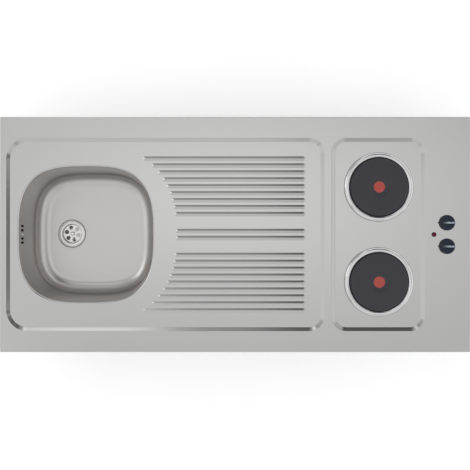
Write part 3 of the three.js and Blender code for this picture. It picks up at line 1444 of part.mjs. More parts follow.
/** Wiring held inside the pan: switch to hotplate on each side, and supply to the switches. */
function makeLeads() {
  const switchFace = knobX - SWITCH_SIZE / 2 - SEAT;
  const switchLeadZ = switchUnder + LEAD_HEIGHT;
  const blockFace = plateX + BLOCK_SHIFT_X + BLOCK_LENGTH / 2 + SEAT;
  const blockLeadZ = baseUnder - SEAT - BLOCK_HEIGHT / 2;
  for (const [name, side] of [['rear', 1], ['front', -1]]) {
    const switchY = (side * KNOB_SPACING) / 2;
    const blockY = side * (PLATE_SPACING / 2 - BLOCK_SHIFT_Y);
    place(`element_lead_${name}`, lead(
      [switchFace, switchY, switchLeadZ],
      [switchFace - LEAD_STRAIGHT, switchY, switchLeadZ],
      [(switchFace + blockFace) / 2, (switchY + blockY) / 2, (switchLeadZ + blockLeadZ) / 2 - LEAD_SAG],
      [blockFace + LEAD_STRAIGHT, blockY, blockLeadZ],
      [blockFace, blockY, blockLeadZ],
    ), 'rubber');
  }

  const terminalFace = glandX + TERMINAL_LENGTH / 2 + SEAT;
  const terminalLeadZ = panFloor + PAN_SHEET + SEAT + TERMINAL_HEIGHT / 2;
  const switchRear = KNOB_SPACING / 2 + SWITCH_SIZE / 2 + SEAT;
  place('supply_lead', lead(
    [terminalFace, terminalY, terminalLeadZ],
    [terminalFace + LEAD_STRAIGHT, terminalY, terminalLeadZ],
    [knobX - LEAD_BEND, terminalY - LEAD_BEND, terminalLeadZ],
    [knobX, switchRear + LEAD_STRAIGHT + 2 * LEAD_BEND, terminalLeadZ],
    [knobX, switchRear + LEAD_STRAIGHT, switchLeadZ],
    [knobX, switchRear, switchLeadZ],
  ), 'rubber');
  const linkEnd = KNOB_SPACING / 2 - SWITCH_SIZE / 2 - SEAT;
  const link = along(rod(LEAD_RADIUS, -linkEnd, linkEnd, COARSE), 'X', 'Z', 'Y');
  place('link_lead', moved(link, knobX + SWITCH_SIZE / 4, 0, switchLeadZ), 'rubber');
}

// ---------------------------------------------------------------- Assembly

makeDeck();
makeBowl();
makeStiffeners();
makeWaste();
makeOverflow();
for (const [name, side] of [['rear', 1], ['front', -1]]) {
  makeHotplate(name, side);
  makeSwitch(name, side);
}
makeLamp();
makePan();
makeSupply();
makeLeads();

export default unit;
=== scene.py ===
"""Looks of a sit-on kitchenette worktop: sink bowl, ribbed drainer and two-plate hob.

Sizes are in metres. +X is to the right, the front edge is towards -Y, and Z is up from the
plane where the return flanges rest on the cabinet.
"""

import math

import bmesh
import bpy
from bpy.props import FloatProperty, FloatVectorProperty, IntProperty, PointerProperty
from bpy.types import Operator, Panel, PropertyGroup
from mathutils import Matrix, Vector
from mathutils.geometry import tessellate_polygon


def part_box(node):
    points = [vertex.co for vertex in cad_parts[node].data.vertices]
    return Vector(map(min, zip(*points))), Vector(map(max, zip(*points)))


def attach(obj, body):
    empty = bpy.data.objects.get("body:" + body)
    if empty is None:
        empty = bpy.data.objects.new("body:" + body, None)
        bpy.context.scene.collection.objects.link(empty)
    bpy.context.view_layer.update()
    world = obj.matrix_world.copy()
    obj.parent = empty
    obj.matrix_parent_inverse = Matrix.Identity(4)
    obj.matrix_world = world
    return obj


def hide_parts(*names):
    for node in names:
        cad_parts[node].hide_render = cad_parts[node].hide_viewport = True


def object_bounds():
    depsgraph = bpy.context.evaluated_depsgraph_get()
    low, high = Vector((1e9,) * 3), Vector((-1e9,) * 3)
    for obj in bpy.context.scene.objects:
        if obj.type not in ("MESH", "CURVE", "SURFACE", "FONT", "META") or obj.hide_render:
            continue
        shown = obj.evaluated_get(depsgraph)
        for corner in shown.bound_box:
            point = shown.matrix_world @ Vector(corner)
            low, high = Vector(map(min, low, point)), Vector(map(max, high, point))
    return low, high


bl_info = {
    "name": "Kitchenette worktop",
    "version": (1, 0, 0),
    "blender": (4, 5, 0),
    "location": "3D View > Sidebar > Worktop",
    "description": "Builds the visible pieces of a sit-on worktop with a sink and a hob",
    "category": "Add Mesh",
}

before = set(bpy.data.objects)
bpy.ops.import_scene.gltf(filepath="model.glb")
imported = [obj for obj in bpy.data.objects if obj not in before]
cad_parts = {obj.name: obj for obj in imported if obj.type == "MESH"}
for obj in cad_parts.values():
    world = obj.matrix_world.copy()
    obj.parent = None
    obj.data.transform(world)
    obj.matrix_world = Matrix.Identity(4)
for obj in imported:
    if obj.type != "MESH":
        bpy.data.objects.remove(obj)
CAD_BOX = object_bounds()
MM = 0.001
UP = Vector((0.0, 0.0, 1.0))


def span(node):
    """Lowest corner, highest corner and middle of a node of the frame."""
    low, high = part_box(node)
    return low, high, (low + high) / 2


# ------------------------------------------------------------------ Sizes and colours


def length(name, description, default):
    """A length property in metres."""
    return FloatProperty(
        name=name, description=description, default=default, unit="LENGTH", precision=4
    )


def colour(name, description, default):
    """A colour property."""
    return FloatVectorProperty(
        name=name, description=description, default=default, subtype="COLOR", size=3, min=0, max=1
    )


class DeckSizes(PropertyGroup):
    """Sizes of the pressed deck"""

    sheet: length("Sheet", "Thickness of the deck's steel", 1 * MM)
    corner: length("Corner", "Corner radius in plan", 4 * MM)
    edge: length("Edge", "Radius of the bend between top and apron", 1.8 * MM)
    fold: length("Fold", "Outside radius of the fold between apron and flange", 1.6 * MM)
    flange: length("Return flange", "Width of the flange that rests on the cabinet", 20 * MM)
    fixing_hole: length("Fixing hole", "Radius of a hole in the return flange", 2.5 * MM)
    fixing_spacing: length("Fixing spacing", "Distance between those holes", 520 * MM)
    press_depth: length("Recess depth", "Depth of the two recesses", 4 * MM)
    press_run: length("Recess slope", "Width of the slope round a recess", 11 * MM)
    press_bend: length("Slope bend", "Radius of the bends above and below a slope", 3 * MM)
    border: length("Border", "From the front and rear edges to a recess", 53 * MM)
    sink_left: length("Sink recess, left", "Left edge of the sink's recess", -584.5 * MM)
    sink_right: length("Sink recess, right", "Right edge of the sink's recess", 229 * MM)
    hob_left: length("Hob recess, left", "Left edge of the hob's recess", 245 * MM)
    hob_right: length("Hob recess, right", "Right edge of the hob's recess", 484.6 * MM)
    left_corner: length("Left corners", "Corner radius at the left of the sink's recess", 55 * MM)
    recess_corner: length("Other corners", "Corner radius of the other recess corners", 40 * MM)
    lamp_hole: length("Lamp hole", "Radius of the pilot lamp's hole", 4.4 * MM)
    shaft_hole: length("Shaft hole", "Radius of a switch shaft's hole", 4.3 * MM)


class DrainerSizes(PropertyGroup):
    """Sizes of the raised ribs"""

    width: length("Rib width", "Width of a rib at its foot", 12 * MM)
    height: length("Rib height", "Height of a rib", 2.5 * MM)
    run: length("Rib slope", "Width of the slope up each side of a rib", 5.8 * MM)
    bend: length("Rib bend", "Radius of the bends below and above that slope", 1 * MM)
    pitch: length("Pitch", "Distance between ribs", 17.7 * MM)
    start: length("First rib", "From the middle to the first rib of each group", 52.2 * MM)
    group: IntProperty(name="Ribs", description="Ribs in each group", default=9, min=1)
    right: length("Right ends", "Where the ribs end on the right", 180 * MM)
    sweep: length("Sweep", "Radius of the sweep that the left ends follow", 230.5 * MM)
    squareness: FloatProperty(
        name="Squareness", description="Power of the sweep's curve", default=2.4, min=1
    )


class BowlSizes(PropertyGroup):
    """Sizes of the drawn bowl"""

    length: length("Length", "Length of the rim along the deck", 347 * MM)
    width: length("Width", "Width of the rim, front to rear", 351 * MM)
    squareness: FloatProperty(
        name="Squareness", description="Power of the rim's curve", default=3, min=2
    )
    depth: length("Depth", "From the drainer's level to the lowest floor", 150 * MM)
    fall: length("Fall", "Fall of the floor to the waste", 2 * MM)
    rim: length("Rim radius", "Radius of the bend over the rim", 6 * MM)
    bottom: length("Bottom radius", "Radius between wall and floor", 36 * MM)
    draft: FloatProperty(
        name="Draft", description="Slope of the walls", default=math.radians(5.5), subtype="ANGLE"
    )
    sheet: length("Sheet", "Thickness of the bowl's steel", 0.8 * MM)
    lip: length("Weld lip", "Flat lip outside the rim's bend", 8 * MM)
    ground: length("Ground rim", "Depth to which the rim is ground like the deck", 1 * MM)
    dimple: length("Waste dimple", "Radius of the seat pressed round the waste", 35.5 * MM)
    dimple_depth: length("Dimple depth", "Depth of that seat", 3 * MM)
    dimple_run: length("Dimple slope", "Width of the slope down to that seat", 4 * MM)
    dimple_bend: length("Dimple bend", "Radius of the bends above and below that slope", 1.5 * MM)
    waste_hole: length("Waste hole", "Radius of the hole in the bowl's floor", 28 * MM)
    slot_width: length("Slot width", "Width of an overflow slot", 6 * MM)
    slot_height: length("Slot height", "Height of an overflow slot", 18 * MM)
    slot_pitch: length("Slot pitch", "Distance between overflow slots", 10.7 * MM)
    overflow_drop: length("Overflow", "Depth of the overflow below the drainer's level", 26 * MM)
    overflow_hole: length("Screw hole", "Radius of the hole between the slots", 2.4 * MM)


class WasteSizes(PropertyGroup):
    """Sizes of the strainer and the slotted screws"""

    sheet: length("Sheet", "Thickness of the strainer", 1.1 * MM)
    radius: length("Radius", "Outside radius of the strainer's rolled edge", 35 * MM)
    fall: length("Fall", "From the cup's wall to the middle of its floor", 0.9 * MM)
    floor: length("Floor", "Radius of the flat floor with the openings", 24.2 * MM)
    screw_hole: length("Screw hole", "Radius of the hole in the middle", 3.4 * MM)
    openings: IntProperty(name="Openings", description="Openings round the screw", default=6, min=3)
    turn: FloatProperty(
        name="Turn", description="Turn of the first opening", default=math.radians(45), subtype="ANGLE"
    )
    opening_place: length("Opening's place", "From the axis to an opening's middle", 16.6 * MM)
    opening_length: length("Opening length", "Half an opening's length, outwards", 6.1 * MM)
    opening_width: length("Opening width", "Half an opening's mean width", 5.7 * MM)
    opening_swell: length("Opening swell", "What its outer end adds to that half", 0.9 * MM)
    screw_head: length("Screw head", "Radius of the screw's head", 5.5 * MM)
    screw_shank: length("Screw shank", "Radius of the screw's shank", 3 * MM)
    screw_edge: length("Screw edge", "Height of the head's straight edge", 1 * MM)
    screw_dome: length("Screw dome", "Height of the dome over that edge", 1.6 * MM)
    screw_slot: length("Screw slot", "Width and depth of the slot", 1.4 * MM)


class HobSizes(PropertyGroup):
    """Sizes of the hotplates and the rings round them"""

    iron: length("Iron", "Radius of a plate's cooking face", 73.5 * MM)
    iron_edge: length("Iron edge", "Width of the bevel round that face", 2 * MM)
    iron_soft: length("Soft edges", "Rounding of the casting's edges", 0.7 * MM)
    body_depth: length("Body depth", "From the cooking face to the plate's underside", 18 * MM)
    body_step: length("Body step", "From the cooking face's radius in to the body's", 1 * MM)
    ledge: length("Ledge", "Height of the ledge that carries the ring", 39.5 * MM)
    ledge_sheet: length("Ledge thickness", "Thickness of that ledge", 3 * MM)
    stud: length("Stud", "Radius of the stud under a plate", 4 * MM)
    dot: length("Dot", "Radius of the red dot on a plate", 14.2 * MM)
    dimple: length("Dimple", "Radius of the recess in a plate", 26.5 * MM)
    dimple_depth: length("Dimple depth", "Depth of that recess, and width of its slope", 1.2 * MM)
    groove_pitch: length("Groove pitch", "Distance between the turned grooves", 1.5 * MM)
    ring: length("Ring", "Outside radius of a spill ring", 88.5 * MM)
    ring_inner: length("Ring, inside", "Inside radius of a spill ring", 74.5 * MM)
    ring_sheet: length("Ring sheet", "Thickness of a spill ring", 0.8 * MM)
    ring_roll: FloatProperty(
        name="Ring roll", description="Turn of the ring's section", default=math.radians(150), subtype="ANGLE"
    )
    hole: length("Plate hole", "Radius of a plate's hole in the deck", 77 * MM)
    collar: length("Collar", "Radius of the foot of the collar round that hole", 82 * MM)
    collar_rise: length("Collar rise", "Height of that collar, and width of its slope", 3 * MM)
    collar_bend: length("Collar bend", "Radius of its bends", 1.2 * MM)


class KnobSizes(PropertyGroup):
    """Sizes of the pointer knobs"""

    radius: length("Radius", "Radius of the knob's skirt", 20 * MM)
    skirt: length("Skirt", "Height of the skirt", 10 * MM)
    grip: length("Grip", "Width of the finger grip at its foot", 9 * MM)
    crest: length("Crest", "Width of the grip's crest at its high end", 4.6 * MM)
    rise: length("Rise", "Height of the grip above the skirt at its high end", 11 * MM)
    border: length("Border", "From the skirt's edge to the ends of the grip", 4.5 * MM)
    tail: length("Tail", "Length of the rounded end behind the high end", 4 * MM)
    shoulder: length("Shoulder", "From the flat top out to the skirt", 3.5 * MM)
    flare: length("Flare", "Width of the flare below the shoulder", 1.6 * MM)
    shoulder_drop: length("Shoulder drop", "From the flat top down to the flare", 1.5 * MM)
    flare_drop: length("Flare drop", "From the flat top down to the upright skirt", 6.5 * MM)
    skirt_soft: length("Soft skirt", "Rounding of the skirt's edges", 1.4 * MM)
    wall: length("Wall", "Thickness of the skirt", 2 * MM)
    draw: length("Draw", "By which the hollow narrows towards its top", 1 * MM)
    hub: length("Hub", "Radius of the hub round the shaft", 7 * MM)
    hub_lift: length("Hub lift", "Height of the hub's end over the skirt's foot", 2 * MM)
    hollow: FloatProperty(
        name="Hollow", description="Power of the curve along the grip's crest", default=1.8, min=1
    )
    soft: length("Soft crest", "Rounding along the grip's crest", 1.1 * MM)
    sunk: length("Sunk", "Depth of the grip's foot in the skirt", 1 * MM)
    # The painted highlight along the grip's crest, in place of its shine: where it fades out and where it is
    # brightest.
    painted_highlight_faint: length("Line's faint end", "Where the grip's painted highlight fades out", -17 * MM)
    painted_highlight_full: length("Line's full end", "Where the grip's painted highlight is at its palest", 0.0)
    nub: length("Nub", "Radius of the round pointer", 2 * MM)
    nub_reach: length("Nub's place", "From the knob's axis to the middle of the pointer", 20.3 * MM)
    nub_height: length("Nub's height", "Height of the pointer", 3.5 * MM)
    nub_soft: length("Soft nub", "Rounding of the pointer's edges", 0.7 * MM)


class LampSizes(PropertyGroup):
    """Sizes of the pilot lamp"""

    lens_edge: length("Lens edge", "Straight edge under the lens's dome", 0.6 * MM)
    body: length("Body", "Radius of the body in its hole", 4 * MM)
    bezel: length("Bezel", "Radius of the bezel round the lens", 6.2 * MM)
    bezel_soft: length("Soft bezel", "Rounding of the bezel's edges", 0.3 * MM)
    seat: length("Seat", "Gap between the deck and the bezel", 0.3 * MM)


class StageSizes(PropertyGroup):
    """Places of the camera, the floor and the key light"""

    distance: length("Distance", "From the camera down to the deck's top", 1.936)
    view: length("View", "Width of the picture on the deck's top", 1.198)
    middle: length("Middle", "Middle of the picture, to the rear of the deck's", -1.228 * MM)
    ahead: length("Ahead", "The camera's place, to the rear of the deck's middle", 30 * MM)
    floor_gap: length("Floor gap", "From the lowest piece down to the floor", 1 * MM)
    floor_reach: length("Floor reach", "From the middle of the floor to its sides", 6.0)
    key_size: length("Key size", "Side of the key light's softbox", 0.9)
    key_power: FloatProperty(name="Key power", description="Power in watts", default=2.5, min=0)
    key_place: FloatVectorProperty(
        name="Key place", description="Place of the key light", default=(-1.75, 0.6, 1.35), unit="LENGTH"
    )


class WorktopColours(PropertyGroup):
    """Colours of the steels, plastics and paints"""

    deck: colour("Deck steel", "Satin steel of the deck", (0.52, 0.52, 0.515))
    bowl: colour("Bowl steel", "Drawn steel of the bowl", (0.56, 0.54, 0.525))
    strainer: colour("Strainer steel", "Satin steel of the strainer", (0.76, 0.745, 0.725))
    chrome: colour("Chrome", "Bright plating", (0.68, 0.68, 0.685))
    zinc: colour("Zinc", "Galvanised steel under the deck", (0.42, 0.44, 0.46))
    iron: colour("Iron", "Cast iron of the hotplates", (0.029, 0.029, 0.037))
    dot: colour("Dot", "Heat-proof paint of the dot", (0.44, 0.065, 0.05))
    knob: colour("Knob", "Gloss plastic of the knobs", (0.008, 0.015, 0.031))
    # Colour of the painted highlight along a knob's grip, standing in for the shine of its crest.
    line: colour("Line", "Painted highlight along a knob's grip", (0.37, 0.41, 0.48))
    lamp: colour("Lamp", "Red lens of the pilot lamp", (0.13, 0.003, 0.018))
    white: colour("White plastic", "Waste body and switches", (0.68, 0.68, 0.66))
    grey: colour("Grey plastic", "Hose and cable gland", (0.27, 0.285, 0.3))
    black: colour("Black plastic", "Overflow head", (0.02, 0.02, 0.023))
    ceramic: colour("Ceramic", "Terminal blocks", (0.74, 0.7, 0.6))
    rubber: colour("Rubber", "Seals and leads", (0.016, 0.016, 0.017))
    padding: colour("Padding", "Sound pad under the bowl", (0.05, 0.045, 0.042))
    floor: colour("Floor", "Floor that the unit is shown on", (0.9, 0.9, 0.9))


GROUPS = {
    "deck": DeckSizes,
    "drainer": DrainerSizes,
    "bowl": BowlSizes,
    "waste": WasteSizes,
    "hob": HobSizes,
    "knob": KnobSizes,
    "lamp": LampSizes,
    "colours": WorktopColours,
    "stage": StageSizes,
}


# ------------------------------------------------------------------ Outlines and sections
# An outline is a list of (point, outward normal) in plan, anticlockwise.
# A section is a list of (distance inwards, height, tilt of the surface from level).


def circle(x, y, radius, count=64):
    """A circle."""
    turns = [2 * math.pi * i / count for i in range(count)]
    normals = [Vector((math.cos(a), math.sin(a))) for a in turns]
    return [(Vector((x, y)) + n * radius, n) for n in normals]


def round_rectangle(x0, x1, y0, y1, corner, left_corner=None, steps=16):
    """A rectangle with round corners, whose left ones may differ."""
    outline = []
    for quarter, (right, rear) in enumerate(((1, 1), (0, 1), (0, 0), (1, 0))):
        radius = corner if right or left_corner is None else left_corner
        centre = Vector((x1 - radius if right else x0 + radius, y1 - radius if rear else y0 + radius))
        for step in range(steps + 1):
            angle = (quarter + step / steps) * math.pi / 2
            normal = Vector((math.cos(angle), math.sin(angle)))
            outline.append((centre + normal * radius, normal))
    return outline


def stadium(x0, x1, y, width, steps=12):
    """A bar with round ends along X."""
    return round_rectangle(x0, x1, y - width / 2, y + width / 2, width / 2, steps=steps // 2)


def squared_ellipse(x, length, width, power, count=192):
    """The bowl's rim, a squared-off ellipse."""
    outline = []
    for i in range(count):
        angle = 2 * math.pi * i / count
        c, s = math.cos(angle), math.sin(angle)
        reach = (abs(2 * c / length) ** power + abs(2 * s / width) ** power) ** (-1 / power)
        slope = Vector(
            (
                math.copysign(abs(c * reach) ** (power - 1) / (length / 2) ** power, c),
                math.copysign(abs(s * reach) ** (power - 1) / (width / 2) ** power, s),
            )
        ).normalized()
        outline.append((Vector((x + c * reach, s * reach)), slope))
    return outline


def slope_tilt(run, depth, bend):
    """Tilt of the straight part of a slope that starts and ends in bends of one radius."""
    low, high = 0.0, math.pi / 2
    for _ in range(40):
        tilt = (low + high) / 2
        fallen = 2 * bend * (1 - math.cos(tilt)) + (run - 2 * bend * math.sin(tilt)) * math.tan(tilt)
        low, high = (tilt, high) if fallen < depth else (low, tilt)
    return tilt


def pressed_slope(run, depth, bend, steps=5):
    """Section of a slope down to a depth, or up where the depth is negative."""
    tilt = slope_tilt(run, abs(depth), bend)
    side = math.copysign(1, depth)
    section = []
    for step in range(steps + 1):
        t = tilt * step / steps
        section.append((bend * math.sin(t), -bend * (1 - math.cos(t)), t))
    for step in range(steps, -1, -1):
        t = tilt * step / steps
        section.append((run - bend * math.sin(t), bend * (1 - math.cos(t)) - abs(depth), t))
    return [(inwards, side * height, side * t) for inwards, height, t in section]


class Sheet:
    """The outer face of a piece of sheet steel, gathered ring by ring, then given its thickness."""

    def __init__(self):
        self.points = []
        self.normals = []
        self.faces = []

    def ring(self, outline, inwards=0.0, height=0.0, tilt=0.0):
        """A ring of points inside an outline. Points that fall together are one point."""
        indices = []
        for point, normal in outline:
            place = point - normal * inwards
            where = Vector((place.x, place.y, height))
            if indices and (where - self.points[indices[-1]]).length < 1e-8:
                indices.append(indices[-1])
                continue
            self.points.append(where)
            sideways = -normal * math.sin(tilt)
            self.normals.append(Vector((sideways.x, sideways.y, math.cos(tilt))))
            indices.append(len(self.points) - 1)
        return indices

    def band(self, first, second):
        """Faces between two rings."""
        count = len(first)
        for i in range(count):
            j = (i + 1) % count
            face = []
            for index in (first[i], first[j], second[j], second[i]):
                if index not in face:
                    face.append(index)
            if len(face) > 2:
                self.faces.append(tuple(face))

    def run(self, outline, section, level=0.0):
        """Rings and bands along a section. Gives the first and the last ring."""
        rings = [self.ring(outline, s, level + z, t) for s, z, t in section]
        for first, second in zip(rings, rings[1:]):
            self.band(first, second)
        return rings[0], rings[-1]

    def fill(self, loops, facing=1):
        """Faces on the flat between an outer loop and the loops inside it."""
        loops = [list(dict.fromkeys(loop)) for loop in loops]
        flat = [index for loop in loops for index in loop]
        coordinates = [[self.points[i] for i in loop] for loop in loops]
        for a, b, c in tessellate_polygon(coordinates):
            face = [flat[a], flat[b], flat[c]]
            p, q, r = (self.points[i] for i in face)
            if (q - p).cross(r - p).z * facing < 0:
                face.reverse()
            self.faces.append(tuple(face))

    def mesh(self, name, thickness):
        """The sheet as a closed mesh, with the exact normals of its pressed form."""
        count = len(self.points)
        points = self.points + [p - n * thickness for p, n in zip(self.points, self.normals)]
        edges = {}
        for face in self.faces:
            edges.update(dict.fromkeys(zip(face, face[1:] + face[:1])))
        rim = [(a, b) for a, b in edges if (b, a) not in edges]
        faces = list(self.faces)
        faces += [tuple(i + count for i in reversed(face)) for face in self.faces]
        faces += [(b, a, a + count, b + count) for a, b in rim]
        mesh = bpy.data.meshes.new(name)
        mesh.from_pydata(points, [], faces)
        mesh.polygons.foreach_set("use_smooth", [True] * len(mesh.polygons))
        outer = len(self.faces)
        normals = []
        for number, polygon in enumerate(mesh.polygons):
            for corner in polygon.vertices:
                if number < outer:
                    normals.append(self.normals[corner])
                elif number < 2 * outer:
                    normals.append(-self.normals[corner - count])
                else:
                    normals.append(polygon.normal.copy())
        mesh.normals_split_custom_set(normals)
        return mesh


# ------------------------------------------------------------------ Meshes


def placed(name, mesh, materials, replaces, body="unit", at=(0, 0, 0)):
    """Puts a mesh in the scene as a piece of the object."""
    piece = bpy.data.objects.new(name, mesh)
    bpy.context.scene.collection.objects.link(piece)
    piece.location = at
    for material in materials:
        mesh.materials.append(finish(material))
    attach(piece, body)
    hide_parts(replaces)


def smoothed(mesh, angle=35.0):
    """Smooth faces, with creases where they meet at more than an angle."""
    mesh.polygons.foreach_set("use_smooth", [True] * len(mesh.polygons))
    mesh.set_sharp_from_angle(angle=math.radians(angle))
    return mesh


def eased(profile, radius, steps=4):
    """A line of (distance, height) with its corners rounded."""
    line = [Vector(p) for p in profile]
    result = [line[0]]
    for before, corner, after in zip(line, line[1:], line[2:]):
        back, on = (before - corner), (after - corner)
        reach = min(radius, back.length * 0.45, on.length * 0.45)
        start = corner + back.normalized() * reach
        end = corner + on.normalized() * reach
        for step in range(steps + 1):
            t = step / steps
            result.append(start * (1 - t) ** 2 + corner * 2 * t * (1 - t) + end * t**2)
    result.append(line[-1])
    return [(p.x, p.y) for p in result]


def turned(name, profile, segments=96, sharp=35.0):
    """A profile of (radius, height) turned about Z. It runs anticlockwise seen from the front.

    A profile that ends where it starts makes a ring.
    """
    closed = profile[0] == profile[-1]
    points = []
    rings = []
    for radius, height in profile[:-1] if closed else profile:
        if radius < 1e-7:
            points.append((0.0, 0.0, height))
            rings.append([len(points) - 1] * segments)
            continue
        rings.append(list(range(len(points), len(points) + segments)))
        for i in range(segments):
            angle = 2 * math.pi * i / segments
            points.append((radius * math.cos(angle), radius * math.sin(angle), height))
    if closed:
        rings.append(rings[0])
    faces = []
    for low, high in zip(rings, rings[1:]):
        for i in range(segments):
            j = (i + 1) % segments
            face = tuple(dict.fromkeys((low[i], low[j], high[j], high[i])))
            if len(face) > 2:
                faces.append(face)
    mesh = bpy.data.meshes.new(name)
    mesh.from_pydata(points, [], faces)
    return smoothed(mesh, sharp)


def prism(name, outline, low, high):
    """A plain outline between two heights."""
    count = len(outline)
    points = [(p.x, p.y, z) for z in (low, high) for p, _ in outline]
    faces = [tuple(reversed(range(count))), tuple(range(count, 2 * count))]
    faces += [(i, (i + 1) % count, (i + 1) % count + count, i + count) for i in range(count)]
    mesh = bpy.data.meshes.new(name)
    mesh.from_pydata(points, [], faces)
    return mesh


def cut_from(mesh, cutter):
    """A mesh with another one cut out of it."""
    holder = bpy.data.objects.new("cut", mesh)
    tool = bpy.data.objects.new("tool", cutter)
    for item in (holder, tool):
        bpy.context.scene.collection.objects.link(item)
    modifier = holder.modifiers.new("Cut", "BOOLEAN")
    modifier.operation = "DIFFERENCE"
    modifier.solver = "EXACT"
    modifier.object = tool
    graph = bpy.context.evaluated_depsgraph_get()
    result = bpy.data.meshes.new_from_object(holder.evaluated_get(graph))
    bpy.data.objects.remove(holder)
    bpy.data.objects.remove(tool)
    return result


# ------------------------------------------------------------------ Shader groups


def new_group(name, inputs, outputs):
    """An empty shader node group with its sockets, and its two end nodes."""
    group = bpy.data.node_groups.new(name, "ShaderNodeTree")
    for socket, kind, default in inputs:
        made = group.interface.new_socket(name=socket, in_out="INPUT", socket_type=kind)
        made.default_value = default
    for socket, kind in outputs:
        group.interface.new_socket(name=socket, in_out="OUTPUT", socket_type=kind)
    start = group.nodes.new("NodeGroupInput")
    end = group.nodes.new("NodeGroupOutput")
    return group, start, end


def calculate(tree, operation, *values, clamp=False):
    """A Math node on values or sockets. Gives its output."""
    node = tree.nodes.new("ShaderNodeMath")
    node.operation = operation
    node.use_clamp = clamp
    for socket, value in zip(node.inputs, values):
        feed(tree, socket, value)
    return node.outputs[0]


def feed(tree, socket, value):
    """Links a socket to a value that may be another socket."""
    if isinstance(value, bpy.types.NodeSocket):
        tree.links.new(value, socket)
    else:
        socket.default_value = value


def noise(tree, vector, scale, detail=3.0, roughness=0.55):
    """A noise of about 0 to 1."""
    node = tree.nodes.new("ShaderNodeTexNoise")
    node.inputs["Scale"].default_value = scale
    node.inputs["Detail"].default_value = detail
    node.inputs["Roughness"].default_value = roughness
    tree.links.new(vector, node.inputs["Vector"])
    return node.outputs["Fac"]


def stretched(tree, vector, scale):
    """A vector scaled along its axes."""
    node = tree.nodes.new("ShaderNodeVectorMath")
    node.operation = "MULTIPLY"
    node.inputs[1].default_value = scale
    tree.links.new(vector, node.inputs[0])
    return node.outputs[0]


def tinted(tree, colour_value, factor, amount):
    """A colour made lighter and darker round itself by a factor of 0 to 1."""
    centred = calculate(tree, "SUBTRACT", factor, 0.5)
    lift = calculate(tree, "MULTIPLY_ADD", centred, amount, 1.0)
    node = tree.nodes.new("ShaderNodeVectorMath")
    node.operation = "SCALE"
    feed(tree, node.inputs[0], colour_value)
    tree.links.new(lift, node.inputs["Scale"])
    return node.outputs[0]


SURFACE_OUTPUTS = [
    ("Colour", "NodeSocketColor"),
    ("Roughness", "NodeSocketFloat"),
    ("Height", "NodeSocketFloat"),
]


def brushed_group():
    """Fine straight brushing, with the faint clouding of handled steel."""
    group, start, end = new_group(
        "Brushed steel",
        [
            ("Colour", "NodeSocketColor", (0.5, 0.5, 0.5, 1)),
            ("Grain", "NodeSocketFloat", 0.05),
            ("Clouding", "NodeSocketFloat", 0.03),
            ("Roughness", "NodeSocketFloat", 0.3),
        ],
        SURFACE_OUTPUTS,
    )
    place = group.nodes.new("ShaderNodeTexCoord").outputs["Object"]
    grain = noise(group, stretched(group, place, (6.0, 900.0, 900.0)), 1.0, 2.0)
    cloud = noise(group, place, 5.0, 3.0, 0.5)
    mixed = calculate(group, "ADD", calculate(group, "MULTIPLY", grain, 0.4), cloud)
    group.links.new(
        tinted(group, start.outputs["Colour"], mixed, start.outputs["Clouding"]),
        end.inputs["Colour"],
    )
    centred = calculate(group, "SUBTRACT", grain, 0.5)
    rough = calculate(group, "MULTIPLY_ADD", centred, start.outputs["Grain"], start.outputs["Roughness"])
    patch = calculate(group, "MULTIPLY", calculate(group, "SUBTRACT", cloud, 0.5), start.outputs["Clouding"])
    group.links.new(calculate(group, "ADD", rough, patch), end.inputs["Roughness"])
    group.links.new(grain, end.inputs["Height"])
    return group


def speckle_group():
    """Fine even texture and colour change, for plastic, rubber, paint, castings and zinc."""
    group, start, end = new_group(
        "Fine texture",
        [
            ("Colour", "NodeSocketColor", (0.5, 0.5, 0.5, 1)),
            ("Scale", "NodeSocketFloat", 900.0),
            ("Mottle", "NodeSocketFloat", 0.1),
            ("Roughness", "NodeSocketFloat", 0.5),
            ("Spread", "NodeSocketFloat", 0.1),
        ],
        SURFACE_OUTPUTS,
    )
    place = group.nodes.new("ShaderNodeTexCoord").outputs["Object"]
    fine = group.nodes.new("ShaderNodeTexNoise")
    fine.inputs["Detail"].default_value = 3.0
    group.links.new(place, fine.inputs["Vector"])
    group.links.new(start.outputs["Scale"], fine.inputs["Scale"])
    broad = noise(group, place, 38.0, 3.0)
    group.links.new(
        tinted(group, start.outputs["Colour"], broad, start.outputs["Mottle"]), end.inputs["Colour"]
    )
    rough = calculate(
        group,
        "MULTIPLY_ADD",
        calculate(group, "SUBTRACT", broad, 0.5),
        start.outputs["Spread"],
        start.outputs["Roughness"],
    )
    group.links.new(rough, end.inputs["Roughness"])
    group.links.new(fine.outputs["Fac"], end.inputs["Height"])
    return group


def turned_marks_group():
    """Rings left by a lathe about the piece's own Z axis."""
    group, start, end = new_group(
        "Turned marks",
        [("Pitch", "NodeSocketFloat", 0.0015)],
        [("Height", "NodeSocketFloat")],
    )
    place = group.nodes.new("ShaderNodeTexCoord").outputs["Object"]
    parts = group.nodes.new("ShaderNodeSeparateXYZ")
    group.links.new(place, parts.inputs[0])
    squares = calculate(
        group,
        "ADD",
        calculate(group, "MULTIPLY", parts.outputs["X"], parts.outputs["X"]),
        calculate(group, "MULTIPLY", parts.outputs["Y"], parts.outputs["Y"]),
    )
    distance = calculate(group, "SQRT", squares)
    turns = calculate(group, "DIVIDE", distance, start.outputs["Pitch"])
    wave = calculate(group, "SINE", calculate(group, "MULTIPLY", turns, 2 * math.pi))
    group.links.new(wave, end.inputs["Height"])
    return group


def ramp(tree, value, start, end, low=0.0, high=1.0):
    """A smooth change from low to high while a value goes from start to end."""
    node = tree.nodes.new("ShaderNodeMapRange")
    node.interpolation_type = "SMOOTHSTEP"
    for socket, number in zip(node.inputs[1:5], (start, end, low, high)):
        socket.default_value = number
    tree.links.new(value, node.inputs["Value"])
    return node.outputs["Result"]


